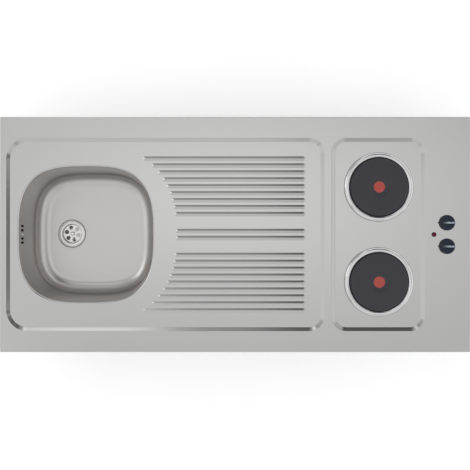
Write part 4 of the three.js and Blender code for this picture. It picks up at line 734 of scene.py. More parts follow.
def painted_highlight_group():
    """A painted highlight along X on top of a knob's grip, standing in for the shine of its crest: full at
    the high end and faint at the other.
    """
    group, start, end = new_group(
        "Painted highlight",
        [
            ("Colour", "NodeSocketColor", (0.01, 0.01, 0.02, 1)),
            ("Line", "NodeSocketColor", (0.5, 0.5, 0.5, 1)),
            ("Faint end", "NodeSocketFloat", -0.017),
            ("Full end", "NodeSocketFloat", 0.0),
            ("Half width", "NodeSocketFloat", 0.0023),
        ],
        [("Colour", "NodeSocketColor")],
    )
    parts = group.nodes.new("ShaderNodeSeparateXYZ")
    group.links.new(group.nodes.new("ShaderNodeTexCoord").outputs["Object"], parts.inputs[0])
    reach = calculate(group, "SUBTRACT", start.outputs["Full end"], start.outputs["Faint end"])
    gone = calculate(group, "SUBTRACT", parts.outputs["X"], start.outputs["Faint end"])
    along = calculate(group, "DIVIDE", gone, reach, clamp=True)
    aside = calculate(group, "ABSOLUTE", parts.outputs["Y"])
    across = ramp(group, calculate(group, "DIVIDE", aside, start.outputs["Half width"]), 1.1, 0.8)
    mask = calculate(group, "MULTIPLY", calculate(group, "MULTIPLY", along, along), across)
    mix = group.nodes.new("ShaderNodeMix")
    mix.data_type = "RGBA"
    group.links.new(mask, mix.inputs["Factor"])
    group.links.new(start.outputs["Colour"], mix.inputs["A"])
    group.links.new(start.outputs["Line"], mix.inputs["B"])
    group.links.new(mix.outputs["Result"], end.inputs["Colour"])
    return group


# Each finish: which method of Finishes makes it, its colour, and what sets its surface apart.
# Scale is of the texture's noise, mottle and spread are how much its colour and its roughness
# vary, and depth is of its marks, in metres.
FINISHES = {
    "deck steel": {
        "kind": "steel", "tint": "deck", "roughness": 0.15, "grain": 0.05, "clouding": 0.04,
        "depth": 6e-7,
    },
    "bowl steel": {
        "kind": "steel", "tint": "bowl", "roughness": 0.3, "grain": 0.06, "clouding": 0.05,
        "depth": 1.5e-6,
    },
    "strainer steel": {
        "kind": "steel", "tint": "strainer", "roughness": 0.3, "grain": 0.06, "clouding": 0.05,
        "depth": 1.5e-6,
    },
    "chrome": {
        "kind": "textured", "tint": "chrome", "roughness": 0.09, "metallic": 1.0, "scale": 300.0,
        "mottle": 0.02, "spread": 0.03, "depth": 5e-7,
    },
    "zinc": {
        "kind": "textured", "tint": "zinc", "roughness": 0.42, "metallic": 1.0, "scale": 120.0,
        "mottle": 0.22, "spread": 0.2, "depth": 1e-5,
    },
    "hotplate iron": {"kind": "hotplate_iron", "tint": "iron"},
    "red dot": {
        "kind": "textured", "tint": "dot", "roughness": 0.55, "scale": 1400.0, "mottle": 0.12,
        "depth": 1.5e-5,
    },
    "knob plastic": {
        "kind": "textured", "tint": "knob", "roughness": 0.25, "scale": 700.0, "mottle": 0.2,
        "spread": 0.06, "depth": 4e-6, "Specular_IOR_Level": 0.3,
    },
    # The grip's plastic carries a painted highlight along its crest.
    "knob grip": {"kind": "painted_highlight_plastic", "tint": "knob"},
    "lamp red": {
        "kind": "textured", "tint": "lamp", "roughness": 0.15, "scale": 500.0, "spread": 0.04,
        "depth": 1e-6, "Specular_IOR_Level": 0.2,
    },
    "white plastic": {"kind": "textured", "tint": "white", "roughness": 0.42},
    "grey plastic": {"kind": "textured", "tint": "grey", "roughness": 0.45},
    "black plastic": {"kind": "textured", "tint": "black", "roughness": 0.4},
    "ceramic": {
        "kind": "textured", "tint": "ceramic", "roughness": 0.35, "scale": 1500.0, "mottle": 0.06,
        "depth": 8e-6,
    },
    "rubber": {
        "kind": "textured", "tint": "rubber", "roughness": 0.7, "scale": 1200.0, "mottle": 0.15,
    },
    "padding": {
        "kind": "textured", "tint": "padding", "roughness": 0.9, "scale": 260.0, "mottle": 0.3,
        "depth": 2.5e-4,
    },
}


class Finishes:
    """The materials and the groups that they share, built once."""

    def __init__(self, colours):
        self.colours = colours
        self.groups = {
            "brushed": brushed_group(),
            "speckle": speckle_group(),
            "turned": turned_marks_group(),
            # painted highlight along the knobs' grips
            "line": painted_highlight_group(),
        }
        self.made = {}

    def shader(self, name, metallic=0.0, **constants):
        """A new material with a Principled shader. Gives the material, its tree and the shader."""
        material = bpy.data.materials.new(name)
        material.use_nodes = True
        tree = material.node_tree
        principled = tree.nodes["Principled BSDF"]
        principled.inputs["Metallic"].default_value = metallic
        for socket, value in constants.items():
            principled.inputs[socket.replace("_", " ")].default_value = value
        return material, tree, principled

    def dress(self, tree, principled, tint, roughness, height, depth):
        """Feeds the shader its colour, its roughness and its marks, whose depth is in metres."""
        tree.links.new(tint, principled.inputs["Base Color"])
        tree.links.new(roughness, principled.inputs["Roughness"])
        node = tree.nodes.new("ShaderNodeBump")
        node.inputs["Strength"].default_value = 1.0
        node.inputs["Distance"].default_value = depth
        tree.links.new(height, node.inputs["Height"])
        tree.links.new(node.outputs["Normal"], principled.inputs["Normal"])

    def grouped(self, tree, name, **values):
        """One of the shared groups, with its own values."""
        node = tree.nodes.new("ShaderNodeGroup")
        node.node_tree = self.groups[name]
        for socket, value in values.items():
            node.inputs[socket].default_value = value
        return node

    def steel(self, name, tint, roughness, grain, clouding, depth):
        """Brushed steel."""
        material, tree, principled = self.shader(name, metallic=1.0)
        group = self.grouped(
            tree, "brushed", Colour=(*tint, 1), Roughness=roughness, Grain=grain, Clouding=clouding
        )
        self.dress(tree, principled, *group.outputs, depth)
        return material

    def textured(
        self, name, tint, roughness, metallic=0.0, scale=900.0, mottle=0.1, spread=0.1, depth=2e-5,
        **constants,
    ):
        """Plastic, rubber, paint, casting or plating with a fine even texture."""
        material, tree, principled = self.shader(name, metallic=metallic, **constants)
        group = self.grouped(
            tree,
            "speckle",
            Colour=(*tint, 1),
            Roughness=roughness,
            Scale=scale,
            Mottle=mottle,
            Spread=spread,
        )
        self.dress(tree, principled, *group.outputs, depth)
        return material

    def hotplate_iron(self, name, tint):
        """Machined cast iron: turned rings over the grain of the casting."""
        material, tree, principled = self.shader(name, Specular_IOR_Level=0.5)
        grain = self.grouped(
            tree, "speckle", Colour=(*tint, 1), Roughness=0.5, Scale=1600.0, Mottle=0.2, Spread=0.12
        )
        rings = self.grouped(tree, "turned", Pitch=bpy.context.scene.worktop_hob.groove_pitch)
        mottled, roughness, casting = grain.outputs
        height = calculate(tree, "MULTIPLY_ADD", rings.outputs["Height"], 0.35, casting)
        self.dress(tree, principled, mottled, roughness, height, 2.5e-5)
        return material

    def painted_highlight_plastic(self, name, tint):
        """The grip's plastic, with a painted highlight along its crest that fades towards the pointer."""
        material, tree, principled = self.shader(name, Specular_IOR_Level=0.3)
        grain = self.grouped(
            tree, "speckle", Colour=(*tint, 1), Roughness=0.25, Scale=700.0, Mottle=0.2, Spread=0.06
        )
        knob = bpy.context.scene.worktop_knob
        places = {
            "Faint end": knob.painted_highlight_faint, "Full end": knob.painted_highlight_full, "Half width": knob.crest / 2
        }
        # A painted highlight along the crest, in place of the shine that the lamps would give it.
        painted_highlight_node = self.grouped(tree, "line", Line=(*self.colours.line, 1), **places)
        mottled, roughness, height = grain.outputs
        tree.links.new(mottled, painted_highlight_node.inputs["Colour"])
        self.dress(tree, principled, painted_highlight_node.outputs["Colour"], roughness, height, 4e-6)
        return material

    def make(self, name):
        """A new finish, by its name."""
        values = dict(FINISHES[name])
        kind = values.pop("kind")
        tint = getattr(self.colours, values.pop("tint"))
        return getattr(self, kind)(name, tint, **values)

    def get(self, name):
        """A finish by its name, made when it is first asked for."""
        if name not in self.made:
            self.made[name] = self.make(name)
        return self.made[name]


shared_finishes = []


def finish(name):
    """A shared finish."""
    if not shared_finishes:
        shared_finishes.append(Finishes(bpy.context.scene.worktop_colours))
    return shared_finishes[0].get(name)


# ------------------------------------------------------------------ Deck and bowl


DECK_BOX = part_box("deck")
SIDES = ("rear", "front")
PLATE_CENTRES = [span(f"hotplate_{side}")[2] for side in SIDES]
KNOB_CENTRES = [span(f"switch_shaft_{side}")[2] for side in SIDES]
LAMP_CENTRE = span("lamp_lens")[2]
WASTE_CENTRE = span("waste_strainer")[2]
BOWL_CENTRE = span("bowl")[2]


def levels(deck):
    """Height of the deck's top and of the recess floors."""
    top = DECK_BOX[1].z
    return top, top - deck.press_depth


def bowl_outline(bowl):
    """The bowl's rim in plan."""
    return squared_ellipse(BOWL_CENTRE.x, bowl.length, bowl.width, bowl.squareness)


def rib_outlines(drainer):
    """The feet of the drainer's ribs, whose left ends follow a sweep round the bowl."""
    rows = [drainer.pitch / 2] + [drainer.start + i * drainer.pitch for i in range(drainer.group)]
    outlines = []
    for row in rows:
        part = 1 - min(row / drainer.sweep, 1) ** drainer.squareness
        left = BOWL_CENTRE.x + drainer.sweep * part ** (1 / drainer.squareness)
        for y in (-row, row):
            outlines.append(stadium(left, drainer.right, y, drainer.width))
    return outlines


def apron_section(deck, top):
    """Section round the deck's edge: the fold of the return flange, the apron and the bend over it."""
    section = []
    for step in range(5):
        t = -math.pi + step / 4 * math.pi / 2
        section.append((deck.fold * (1 + math.sin(t)), deck.fold * (1 + math.cos(t)), t))
    for step in range(9):
        t = -math.pi / 2 + step / 8 * math.pi / 2
        section.append((deck.edge * (1 + math.sin(t)), top - deck.edge * (1 - math.cos(t)), t))
    return section


def add_return_flange(sheet, deck, apron_foot):
    """The flange that turns in under the apron, with its fixing holes."""
    low, high = DECK_BOX
    front, rear = low.y + deck.flange, high.y - deck.flange
    inner = round_rectangle(low.x + deck.flange, high.x - deck.flange, front, rear, 0.0, steps=6)
    loops = [apron_foot, sheet.ring(inner, 0, 0.0, math.pi)]
    for place in (-1, 0, 1):
        for y in (low.y + deck.flange / 2, high.y - deck.flange / 2):
            hole = circle(place * deck.fixing_spacing, y, deck.fixing_hole, 24)
            loops.append(sheet.ring(hole, 0, 0.0, math.pi))
    sheet.fill(loops, facing=-1)


def add_plate_collar(sheet, hob, centre, floor):
    """The raised collar round a plate's hole. Gives the ring at its foot."""
    slope = pressed_slope(hob.collar_rise, -hob.collar_rise, hob.collar_bend, steps=3)
    foot, crest = sheet.run(circle(centre.x, centre.y, hob.collar, 96), slope, floor)
    hole = sheet.ring(circle(centre.x, centre.y, hob.hole, 96), 0, floor + hob.collar_rise)
    sheet.band(crest, hole)
    return foot


class WORKTOP_OT_deck(Operator):
    """Press the deck: two recesses, drainer ribs, aprons and return flanges"""

    bl_idname = "worktop.deck"
    bl_label = "Deck"

    def execute(self, context):
        scene = context.scene
        deck, drainer, bowl = scene.worktop_deck, scene.worktop_drainer, scene.worktop_bowl
        low, high = DECK_BOX
        top, floor = levels(deck)
        sheet = Sheet()
        edge = round_rectangle(low.x, high.x, low.y, high.y, deck.corner, steps=6)
        apron_foot, top_edge = sheet.run(edge, apron_section(deck, top))
        add_return_flange(sheet, deck, apron_foot)

        slope = pressed_slope(deck.press_run, deck.press_depth, deck.press_bend)
        front, rear = low.y + deck.border, high.y - deck.border
        sink = round_rectangle(
            deck.sink_left, deck.sink_right, front, rear, deck.recess_corner, deck.left_corner
        )
        hob = round_rectangle(deck.hob_left, deck.hob_right, front, rear, deck.recess_corner)
        sink_top, sink_floor = sheet.run(sink, slope, top)
        hob_top, hob_floor = sheet.run(hob, slope, top)
        holes = [circle(LAMP_CENTRE.x, LAMP_CENTRE.y, deck.lamp_hole, 32)]
        holes += [circle(centre.x, centre.y, deck.shaft_hole, 32) for centre in KNOB_CENTRES]
        sheet.fill([top_edge, sink_top, hob_top, *(sheet.ring(hole, 0, top) for hole in holes)])

        rise = pressed_slope(drainer.run, -drainer.height, drainer.bend, steps=4)
        feet = []
        for outline in rib_outlines(drainer):
            foot, crest = sheet.run(outline, rise, floor)
            feet.append(foot)
            sheet.fill([crest])
        mouth = sheet.ring(bowl_outline(bowl), -(bowl.rim / 2 + bowl.lip), floor)
        sheet.fill([sink_floor, mouth, *feet])
        collars = [add_plate_collar(sheet, scene.worktop_hob, at, floor) for at in PLATE_CENTRES]
        sheet.fill([hob_floor, *collars])

        mesh = sheet.mesh("deck_pressing", deck.sheet)
        placed("deck_pressing", mesh, ["deck steel"], "deck")
        return {"FINISHED"}


def bowl_section(bowl):
    """The bowl's section from the welded edge of its lip to the start of its floor."""
    steep = math.pi / 2 - bowl.draft
    section = [(-(bowl.rim / 2 + bowl.lip), 0.0, 0.0), (-(bowl.rim / 2 + bowl.lip / 4), 0.0, 0.0)]
    for step in range(11):
        t = steep * step / 10
        section.append((bowl.rim * (math.sin(t) - 0.5), -bowl.rim * (1 - math.cos(t)), t))
    inwards, height, _ = section[-1]
    fillet_low = bowl.fall - bowl.depth
    drop = height - fillet_low - bowl.bottom * (1 - math.cos(steep))
    for step in range(1, 8):
        fallen = drop * step / 8
        section.append((inwards + fallen * math.tan(bowl.draft), height - fallen, steep))
    wall_end = inwards + drop * math.tan(bowl.draft)
    for step in range(18, -1, -1):
        t = steep * step / 18
        inwards = wall_end + bowl.bottom * (math.sin(steep) - math.sin(t))
        section.append((inwards, fillet_low + bowl.bottom * (1 - math.cos(t)), t))
    return section


def add_bowl_floor(sheet, bowl, edge, floor):
    """The floor, which falls from the walls' foot to the seat pressed round the waste hole."""
    edge_points = [sheet.points[i] for i in edge]
    seat = circle(WASTE_CENTRE.x, WASTE_CENTRE.y, bowl.dimple + bowl.dimple_run, len(edge))
    before = edge
    for step in range(1, 13):
        ring = []
        for point, (target, _) in zip(edge_points, seat):
            sheet.points.append(point.lerp(Vector((target.x, target.y, floor)), step / 12))
            sheet.normals.append(UP)
            ring.append(len(sheet.points) - 1)
        sheet.band(before, ring)
        before = ring
    dip = pressed_slope(bowl.dimple_run, bowl.dimple_depth, bowl.dimple_bend, steps=3)
    first, last = sheet.run(seat, dip, floor)
    sheet.band(before, first)
    hole = circle(WASTE_CENTRE.x, WASTE_CENTRE.y, bowl.waste_hole, len(edge))
    sheet.band(last, sheet.ring(hole, 0, floor - bowl.dimple_depth))


def overflow_cutter(bowl, level):
    """The four slots and the screw hole of the overflow, square to the bowl's left wall."""
    half = bowl.slot_height / 2
    outlines = [
        stadium(-half, half, place * bowl.slot_pitch, bowl.slot_width, 16) for place in (-2, -1, 1, 2)
    ]
    outlines.append(circle(0, 0, bowl.overflow_hole, 24))
    reach = 10 * bowl.sheet
    cutters = bmesh.new()
    for outline in outlines:
        cutters.from_mesh(prism("slot", outline, -reach, reach))
    inwards = bowl.rim / 2 + (bowl.overflow_drop - bowl.rim) * math.tan(bowl.draft)
    wall = BOWL_CENTRE.x - bowl.length / 2 + inwards
    lean = Matrix.Rotation(-math.pi / 2 - bowl.draft, 4, "Y")
    place = Matrix.Translation((wall, 0, level - bowl.overflow_drop)) @ lean
    bmesh.ops.transform(cutters, matrix=place, verts=cutters.verts)
    mesh = bpy.data.meshes.new("slots")
    cutters.to_mesh(mesh)
    cutters.free()
    return mesh


class WORKTOP_OT_bowl(Operator):
    """Draw the bowl, with its waste seat and overflow slots"""

    bl_idname = "worktop.bowl"
    bl_label = "Bowl"

    def execute(self, context):
        bowl = context.scene.worktop_bowl
        _, level = levels(context.scene.worktop_deck)
        sheet = Sheet()
        _, floor_edge = sheet.run(bowl_outline(bowl), bowl_section(bowl), level)
        add_bowl_floor(sheet, bowl, floor_edge, level - bowl.depth)
        mesh = cut_from(sheet.mesh("bowl", bowl.sheet), overflow_cutter(bowl, level))
        mesh.name = "bowl_pressing"
        smoothed(mesh, 40)
        placed("bowl_pressing", mesh, ["bowl steel", "deck steel"], "bowl")
        for polygon in mesh.polygons:
            if polygon.center.z > level - bowl.ground:
                polygon.material_index = 1
        return {"FINISHED"}


# ------------------------------------------------------------------ Waste and overflow


def strainer_section(waste, top):
    """The strainer's upper face: a rolled edge, a flat brim, and a short wall down to its floor."""
    edge = [(0.0, -1.9), (0.0, -0.8), (4.0, 0.05), (7.2, 0.0), (8.6, -1.0), (9.3, -2.9), (9.6, -10.2)]
    return eased([(waste.radius - inwards * MM, top + z * MM) for inwards, z in edge], 1.1 * MM)


def strainer_opening(waste, count=28):
    """An egg-shaped opening of the strainer out along the X axis, wider at its outer end."""
    points = []
    for i in range(count):
        angle = 2 * math.pi * i / count
        x = waste.opening_place + waste.opening_length * math.cos(angle)
        half_width = waste.opening_width + waste.opening_swell * math.cos(angle)
        points.append(Vector((x, half_width * math.sin(angle))))
    return points


def place_screw(waste, name, node):
    """A slotted screw with a domed head, upright."""
    low, high, middle = span(node)
    head, shank = waste.screw_head, waste.screw_shank
    head_low = high.z - waste.screw_edge - waste.screw_dome
    dome_low = head_low + waste.screw_edge
    profile = [(0, low.z), (shank, low.z), (shank, head_low), (head, head_low), (head, dome_low)]
    for step in range(1, 7):
        angle = step / 6 * math.pi / 2
        profile.append((head * math.cos(angle), dome_low + waste.screw_dome * math.sin(angle)))
    half_slot = waste.screw_slot / 2
    slot = round_rectangle(-head * 1.2, head * 1.2, -half_slot, half_slot, 0.0001, steps=2)
    cutter = prism("slot", slot, high.z - waste.screw_slot, high.z + 1 * MM)
    mesh = smoothed(cut_from(turned(name, profile, 48), cutter), 40)
    placed(name, mesh, ["chrome"], node, at=(middle.x, middle.y, 0))


class WORKTOP_OT_waste(Operator):
    """Make the strainer and its screw"""

    bl_idname = "worktop.waste"
    bl_label = "Waste"

    def execute(self, context):
        waste = context.scene.worktop_waste
        _, high, middle = span("waste_strainer")
        points = strainer_section(waste, high.z)
        sheet = Sheet()
        rings = []
        for index, (radius, height) in enumerate(points):
            before = points[max(index - 1, 0)]
            after = points[min(index + 1, len(points) - 1)]
            tilt = math.atan2(before[1] - after[1], before[0] - after[0])
            rings.append(sheet.ring(circle(0, 0, radius, 96), 0, height, tilt))
        level = points[-1][1] - waste.fall
        floor_edge = sheet.ring(circle(0, 0, waste.floor, 96), 0, level)
        rings.append(floor_edge)
        for first, second in zip(rings, rings[1:]):
            sheet.band(first, second)
        loops = [floor_edge, sheet.ring(circle(0, 0, waste.screw_hole, 32), 0, level)]
        for number in range(waste.openings):
            turn = Matrix.Rotation(waste.turn + 2 * math.pi * number / waste.openings, 2)
            outline = [(turn @ point, Vector((1, 0))) for point in strainer_opening(waste)]
            loops.append(sheet.ring(outline, 0, level))
        sheet.fill(loops)
        mesh = sheet.mesh("strainer_pressing", waste.sheet)
        at = (middle.x, middle.y, 0)
        placed("strainer_pressing", mesh, ["strainer steel"], "waste_strainer", at=at)
        place_screw(waste, "strainer_screw", "waste_screw")
        return {"FINISHED"}


# ------------------------------------------------------------------ Hob


def plate_profile(hob, outer, top, foot):
    """Section of a hotplate, from the middle of its recess out and round to its stud."""
    face, body = hob.iron, hob.iron - hob.body_step
    under = top - hob.body_depth
    recess = top - hob.dimple_depth
    edge = [
        (hob.dimple - hob.dimple_depth, recess),
        (hob.dimple, top),
        (face - hob.iron_edge, top),
        (face, top - hob.iron_edge),
        (face, hob.ledge),
        (outer, hob.ledge),
        (outer, hob.ledge - hob.ledge_sheet),
        (body, hob.ledge - hob.ledge_sheet),
        (body, under),
        (hob.stud, under),
        (hob.stud, foot),
        (0, foot),
    ]
    return [(0, recess), (hob.dot, recess), *eased(edge, hob.iron_soft, 3)]


def spill_ring_profile(hob, low, high):
    """Section of the domed ring round a plate, as a closed line."""
    outer, inner = hob.ring, hob.ring_inner
    reach = (outer - inner) / (1 - math.cos(hob.ring_roll))
    rise = high - low

    def arc(inwards, steps):
        points = []
        for step in range(steps + 1):
            angle = hob.ring_roll * step / steps
            across = outer - reach + (reach - inwards) * math.cos(angle)
            points.append((across, low + (rise - inwards) * math.sin(angle)))
        return points

    outside = arc(0.0, 22)
    return outside + list(reversed(arc(hob.ring_sheet, 14))) + outside[:1]


class WORKTOP_OT_hotplates(Operator):
    """Make the two hotplates with their spill rings"""

    bl_idname = "worktop.hotplates"
    bl_label = "Hotplates"

    def execute(self, context):
        hob = context.scene.worktop_hob
        for side in SIDES:
            self.place_plate(hob, f"plate_iron_{side}", f"hotplate_{side}")
            self.place_ring(hob, f"plate_ring_{side}", f"spill_ring_{side}")
        return {"FINISHED"}

    def place_plate(self, hob, name, node):
        """One iron plate, with the dot painted in its recess."""
        low, high, middle = span(node)
        profile = plate_profile(hob, (high.x - low.x) / 2, high.z, low.z)
        mesh = turned(name, list(reversed(profile)), 160, 50)
        placed(
            name, mesh, ["hotplate iron", "red dot"], node, at=(middle.x, middle.y, 0)
        )
        for polygon in mesh.polygons:
            reach = max(mesh.vertices[i].co.xy.length for i in polygon.vertices)
            if reach < hob.dot + 1e-6 and polygon.center.z > high.z - 2 * hob.dimple_depth:
                polygon.material_index = 1

    def place_ring(self, hob, name, node):
        """One domed ring."""
        low, high, middle = span(node)
        mesh = turned(name, spill_ring_profile(hob, low.z, high.z), 192, 60)
        placed(name, mesh, ["chrome"], node, at=(middle.x, middle.y, 0))


# ------------------------------------------------------------------ Knobs and lamp


def knob_skirt(knob, name):
    """The round skirt, hollow underneath, with the hub that grips the shaft."""
    r, top = knob.radius, knob.skirt
    line = [
        (0, top),
        (r - knob.shoulder, top),
        (r - knob.flare, top - knob.shoulder_drop),
        (r, top - knob.flare_drop),
        (r, 0.0),
        (r - knob.wall, 0.0),
        (r - knob.wall - knob.draw, top - knob.wall),
        (knob.hub, top - knob.wall),
        (knob.hub, knob.hub_lift),
        (0, knob.hub_lift),
    ]
    return turned(name, list(reversed(eased(line, knob.skirt_soft, 5))), 144, 50)


def knob_nub(knob, name):
    """The round pointer at the skirt's foot, with a softened top."""
    r, top = knob.nub, knob.nub_height
    line = [(0, 0), (r, 0), (r, top), (0, top)]
    return turned(name, eased(line, knob.nub_soft), 32, 50)


def grip_spine(knob):
    """The grip's crest from the pointer to its high end and down, as (along, rise)."""
    reach = knob.radius - knob.border
    high_end = reach - knob.tail
    spine = [(-reach, -knob.sunk)]
    for step in range(29):
        part = step / 28
        spine.append((-reach + part * (high_end + reach), knob.rise * part**knob.hollow))
    for step in range(1, 11):
        angle = step / 10 * math.pi / 2
        spine.append((high_end + knob.tail * math.sin(angle), knob.rise * math.cos(angle)))
    spine.append((reach, -knob.sunk))
    return spine


def knob_grip(knob, name):
    """The finger grip: a drafted bar with a soft crest, hollowed down towards the pointer."""
    draft = (knob.grip - knob.crest) / 2 / knob.rise
    bm = bmesh.new()
    sections = []
    for x, rise in grip_spine(knob):
        half = knob.grip / 2 - draft * rise
        soft = min(knob.soft, (rise + knob.sunk) * 0.45)
        side = [(knob.grip / 2 + draft * knob.sunk, -knob.sunk)]
        for step in range(6):
            angle = step / 5 * math.pi / 2
            side.append((half - soft * (1 - math.cos(angle)), rise - soft * (1 - math.sin(angle))))
        ring = side + [(-y, z) for y, z in reversed(side)]
        sections.append([bm.verts.new((x, y, knob.skirt + z)) for y, z in ring])
    for first, second in zip(sections, sections[1:]):
        for i in range(len(first)):
            j = (i + 1) % len(first)
            bm.faces.new((first[i], second[i], second[j], first[j]))
    bm.faces.new(sections[0])
    bm.faces.new(list(reversed(sections[-1])))
    bmesh.ops.remove_doubles(bm, verts=bm.verts, dist=1e-6)
    bmesh.ops.recalc_face_normals(bm, faces=bm.faces)
    mesh = bpy.data.meshes.new(name)
    bm.to_mesh(mesh)
    bm.free()
    return smoothed(mesh, 45)


class WORKTOP_OT_knobs(Operator):
    """Make the two pointer knobs"""

    bl_idname = "worktop.knobs"
    bl_label = "Knobs"

    def execute(self, context):
        knob = context.scene.worktop_knob
        for side, centre in zip(SIDES, KNOB_CENTRES):
            node = f"knob_{side}"
            at = Vector((centre.x, centre.y, span(node)[0].z))
            nub_at = at - Vector((knob.nub_reach, 0, 0))
            pieces = [
                ("skirt", knob_skirt, "knob plastic", at),
                ("grip", knob_grip, "knob grip", at),
                ("nub", knob_nub, "knob plastic", nub_at),
            ]
            for part, make, material, place in pieces:
                name = f"knob_{part}_{side}"
                placed(name, make(knob, name), [material], node, node, place)
        return {"FINISHED"}


class WORKTOP_OT_lamp(Operator):
    """Make the pilot lamp's lens and bezel"""

    bl_idname = "worktop.lamp"
    bl_label = "Pilot lamp"

    def execute(self, context):
        lamp = context.scene.worktop_lamp
        low, high, middle = span("lamp_lens")
        radius = (high.x - low.x) / 2
        dome_low = low.z + lamp.lens_edge
        profile = [(0, low.z), (radius, low.z)]
        for step in range(12):
            angle = step / 12 * math.pi / 2
            rise = (high.z - dome_low) * math.sin(angle)
            profile.append((radius * math.cos(angle), dome_low + rise))
        profile.append((0, high.z))
        lens = turned("lamp_dome", profile, 64)
        at = (middle.x, middle.y, 0)
        placed("lamp_dome", lens, ["lamp red"], "lamp_lens", at=at)

        low, high, middle = span("lamp_body")
        seat = DECK_BOX[1].z + lamp.seat
        line = [
            (0, low.z),
            (lamp.body, low.z),
            (lamp.body, seat),
            (lamp.bezel, seat),
            (lamp.bezel, high.z),
            (0, high.z),
        ]
        bezel = turned("lamp_bezel", eased(line, lamp.bezel_soft, 3), 64)
        at = (middle.x, middle.y, 0)
        placed("lamp_bezel", bezel, ["black plastic"], "lamp_body", at=at)
        return {"FINISHED"}


# ------------------------------------------------------------------ Pieces kept from the frame

KEPT = {
    "zinc": [
        "stiffener_front", "stiffener_rear", "cross_member", "hob_pan",
        "coil_cover_rear", "coil_cover_front", "clamp_bridge_rear", "clamp_bridge_front",
        "clamp_nut_rear", "clamp_nut_front", "lamp_nut",
        "pan_nut_left_front", "pan_nut_left_rear", "pan_nut_right_front", "pan_nut_right_rear",
        "switch_shaft_rear", "switch_shaft_front",
        "switch_screw_rear_1", "switch_screw_rear_2", "switch_screw_front_1", "switch_screw_front_2",
    ],
    "chrome": ["overflow_screw"],
    "white plastic": [
        "waste_body", "hose_nut_top", "hose_nut_bottom", "switch_body_rear", "switch_body_front",
        "mains_terminal",
    ],
    "grey plastic": ["overflow_hose", "cable_gland", "gland_nut"],
    "black plastic": ["overflow_head"],
    "ceramic": ["terminal_block_rear", "terminal_block_front"],
    "rubber": [
        "waste_seal", "overflow_seal", "ring_seal_rear", "ring_seal_front",
        "shaft_gasket_rear", "shaft_gasket_front",
        "element_lead_rear", "element_lead_front", "supply_lead", "link_lead",
    ],
    "padding": ["bowl_sound_pad"],
}


class WORKTOP_OT_kept_pieces(Operator):
    """Give the pieces that stay as they are their materials"""

    bl_idname = "worktop.kept_pieces"
    bl_label = "Kept pieces"

    def execute(self, context):
        for name, nodes in KEPT.items():
            for node in nodes:
                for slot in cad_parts[node].material_slots:
                    slot.link = "OBJECT"
                    slot.material = finish(name)
        return {"FINISHED"}


# ------------------------------------------------------------------ Stage


SOFTBOX_LEVEL = 0.55  # brightness of the softbox overhead, over that of the walls
SOFTBOX_REACH = (0.38, 0.17)  # to half that level, as run over rise, along the deck and across
SOFTBOX_SHIFT = (-0.05, 0.22)  # of its middle, to the right and to the rear, in those reaches
WALL_LEVEL = 0.62
HORIZON_LEVEL = 0.95
HORIZON = 0.1  # how far up the horizon's level reaches
BACKDROP = 1.0  # what the camera sees of the studio

# Screens round the object, in the order that they are laid over the softbox and the walls:
# level, then the middle and half width of the tilt from overhead, then of the turn from +X,
# and how soft the edge is, in degrees.
SCREENS = [
    (0.96, 42, 26, 180, 38, 10),
    (0.88, 48, 30, -95, 36, 12),
    (0.62, 40, 14, -74, 9, 6),
    (0.84, 50, 30, -28, 32, 12),
    (0.66, 52, 28, 30, 30, 12),
    (0.95, 56, 12, 2, 14, 8),
    (0.46, 52, 36, 92, 32, 10),
    (0.12, 42, 14, 71, 14.3, 3),
    (1.30, 38, 8, 108, 9, 5),
    (0.50, 44, 22, 130, 11, 12),
    (0.60, 33, 11, 156, 13, 10),
    (1.40, 71, 9, 37, 73, 8),
    (0.06, 29, 4, 36, 22, 3),
    (0.12, 28, 3.5, -4, 11, 3),
]


def blend(tree, below, above, share):
    """One level laid over another, where the share is 1."""
    return calculate(tree, "MULTIPLY_ADD", calculate(tree, "SUBTRACT", above, below), share, below)


def within(tree, value, middle, half, soft):
    """1 inside a range of an angle, and 0 outside it."""
    off = calculate(tree, "SUBTRACT", value, math.radians(middle))
    off = calculate(tree, "ABSOLUTE", calculate(tree, "WRAP", off, math.pi, -math.pi))
    return ramp(tree, off, math.radians(half + soft / 2), math.radians(half - soft / 2))


def studio_world():
    """Pale surroundings: a softbox overhead, pale walls, and grey and dark screens at the rear."""
    world = bpy.data.worlds.new("Studio")
    bpy.context.scene.world = world
    world.use_nodes = True
    tree = world.node_tree
    parts = tree.nodes.new("ShaderNodeSeparateXYZ")
    tree.links.new(tree.nodes.new("ShaderNodeTexCoord").outputs["Generated"], parts.inputs[0])
    x, y, z = parts.outputs
    up = calculate(tree, "MAXIMUM", z, 0.05)
    out = 1.0
    for way, reach, shift in zip((x, y), SOFTBOX_REACH, SOFTBOX_SHIFT):
        run = calculate(tree, "DIVIDE", way, up)
        off = calculate(tree, "MULTIPLY_ADD", run, 1 / reach, -shift)
        out = calculate(tree, "MULTIPLY_ADD", off, off, out)
    light = calculate(tree, "ADD", calculate(tree, "DIVIDE", SOFTBOX_LEVEL, out), WALL_LEVEL)

    tilt = calculate(tree, "ARCCOSINE", z)
    turn = calculate(tree, "ARCTAN2", y, x)
    for level, tilt_middle, tilt_half, turn_middle, turn_half, soft in SCREENS:
        beside = within(tree, turn, turn_middle, turn_half, soft)
        share = calculate(tree, "MULTIPLY", within(tree, tilt, tilt_middle, tilt_half, soft), beside)
        light = blend(tree, light, level, share)
    light = blend(tree, light, HORIZON_LEVEL, ramp(tree, z, HORIZON, 0.0))
    rays = tree.nodes.new("ShaderNodeLightPath")
    light = blend(tree, light, BACKDROP, rays.outputs["Is Camera Ray"])
    tree.links.new(light, tree.nodes["Background"].inputs["Color"])


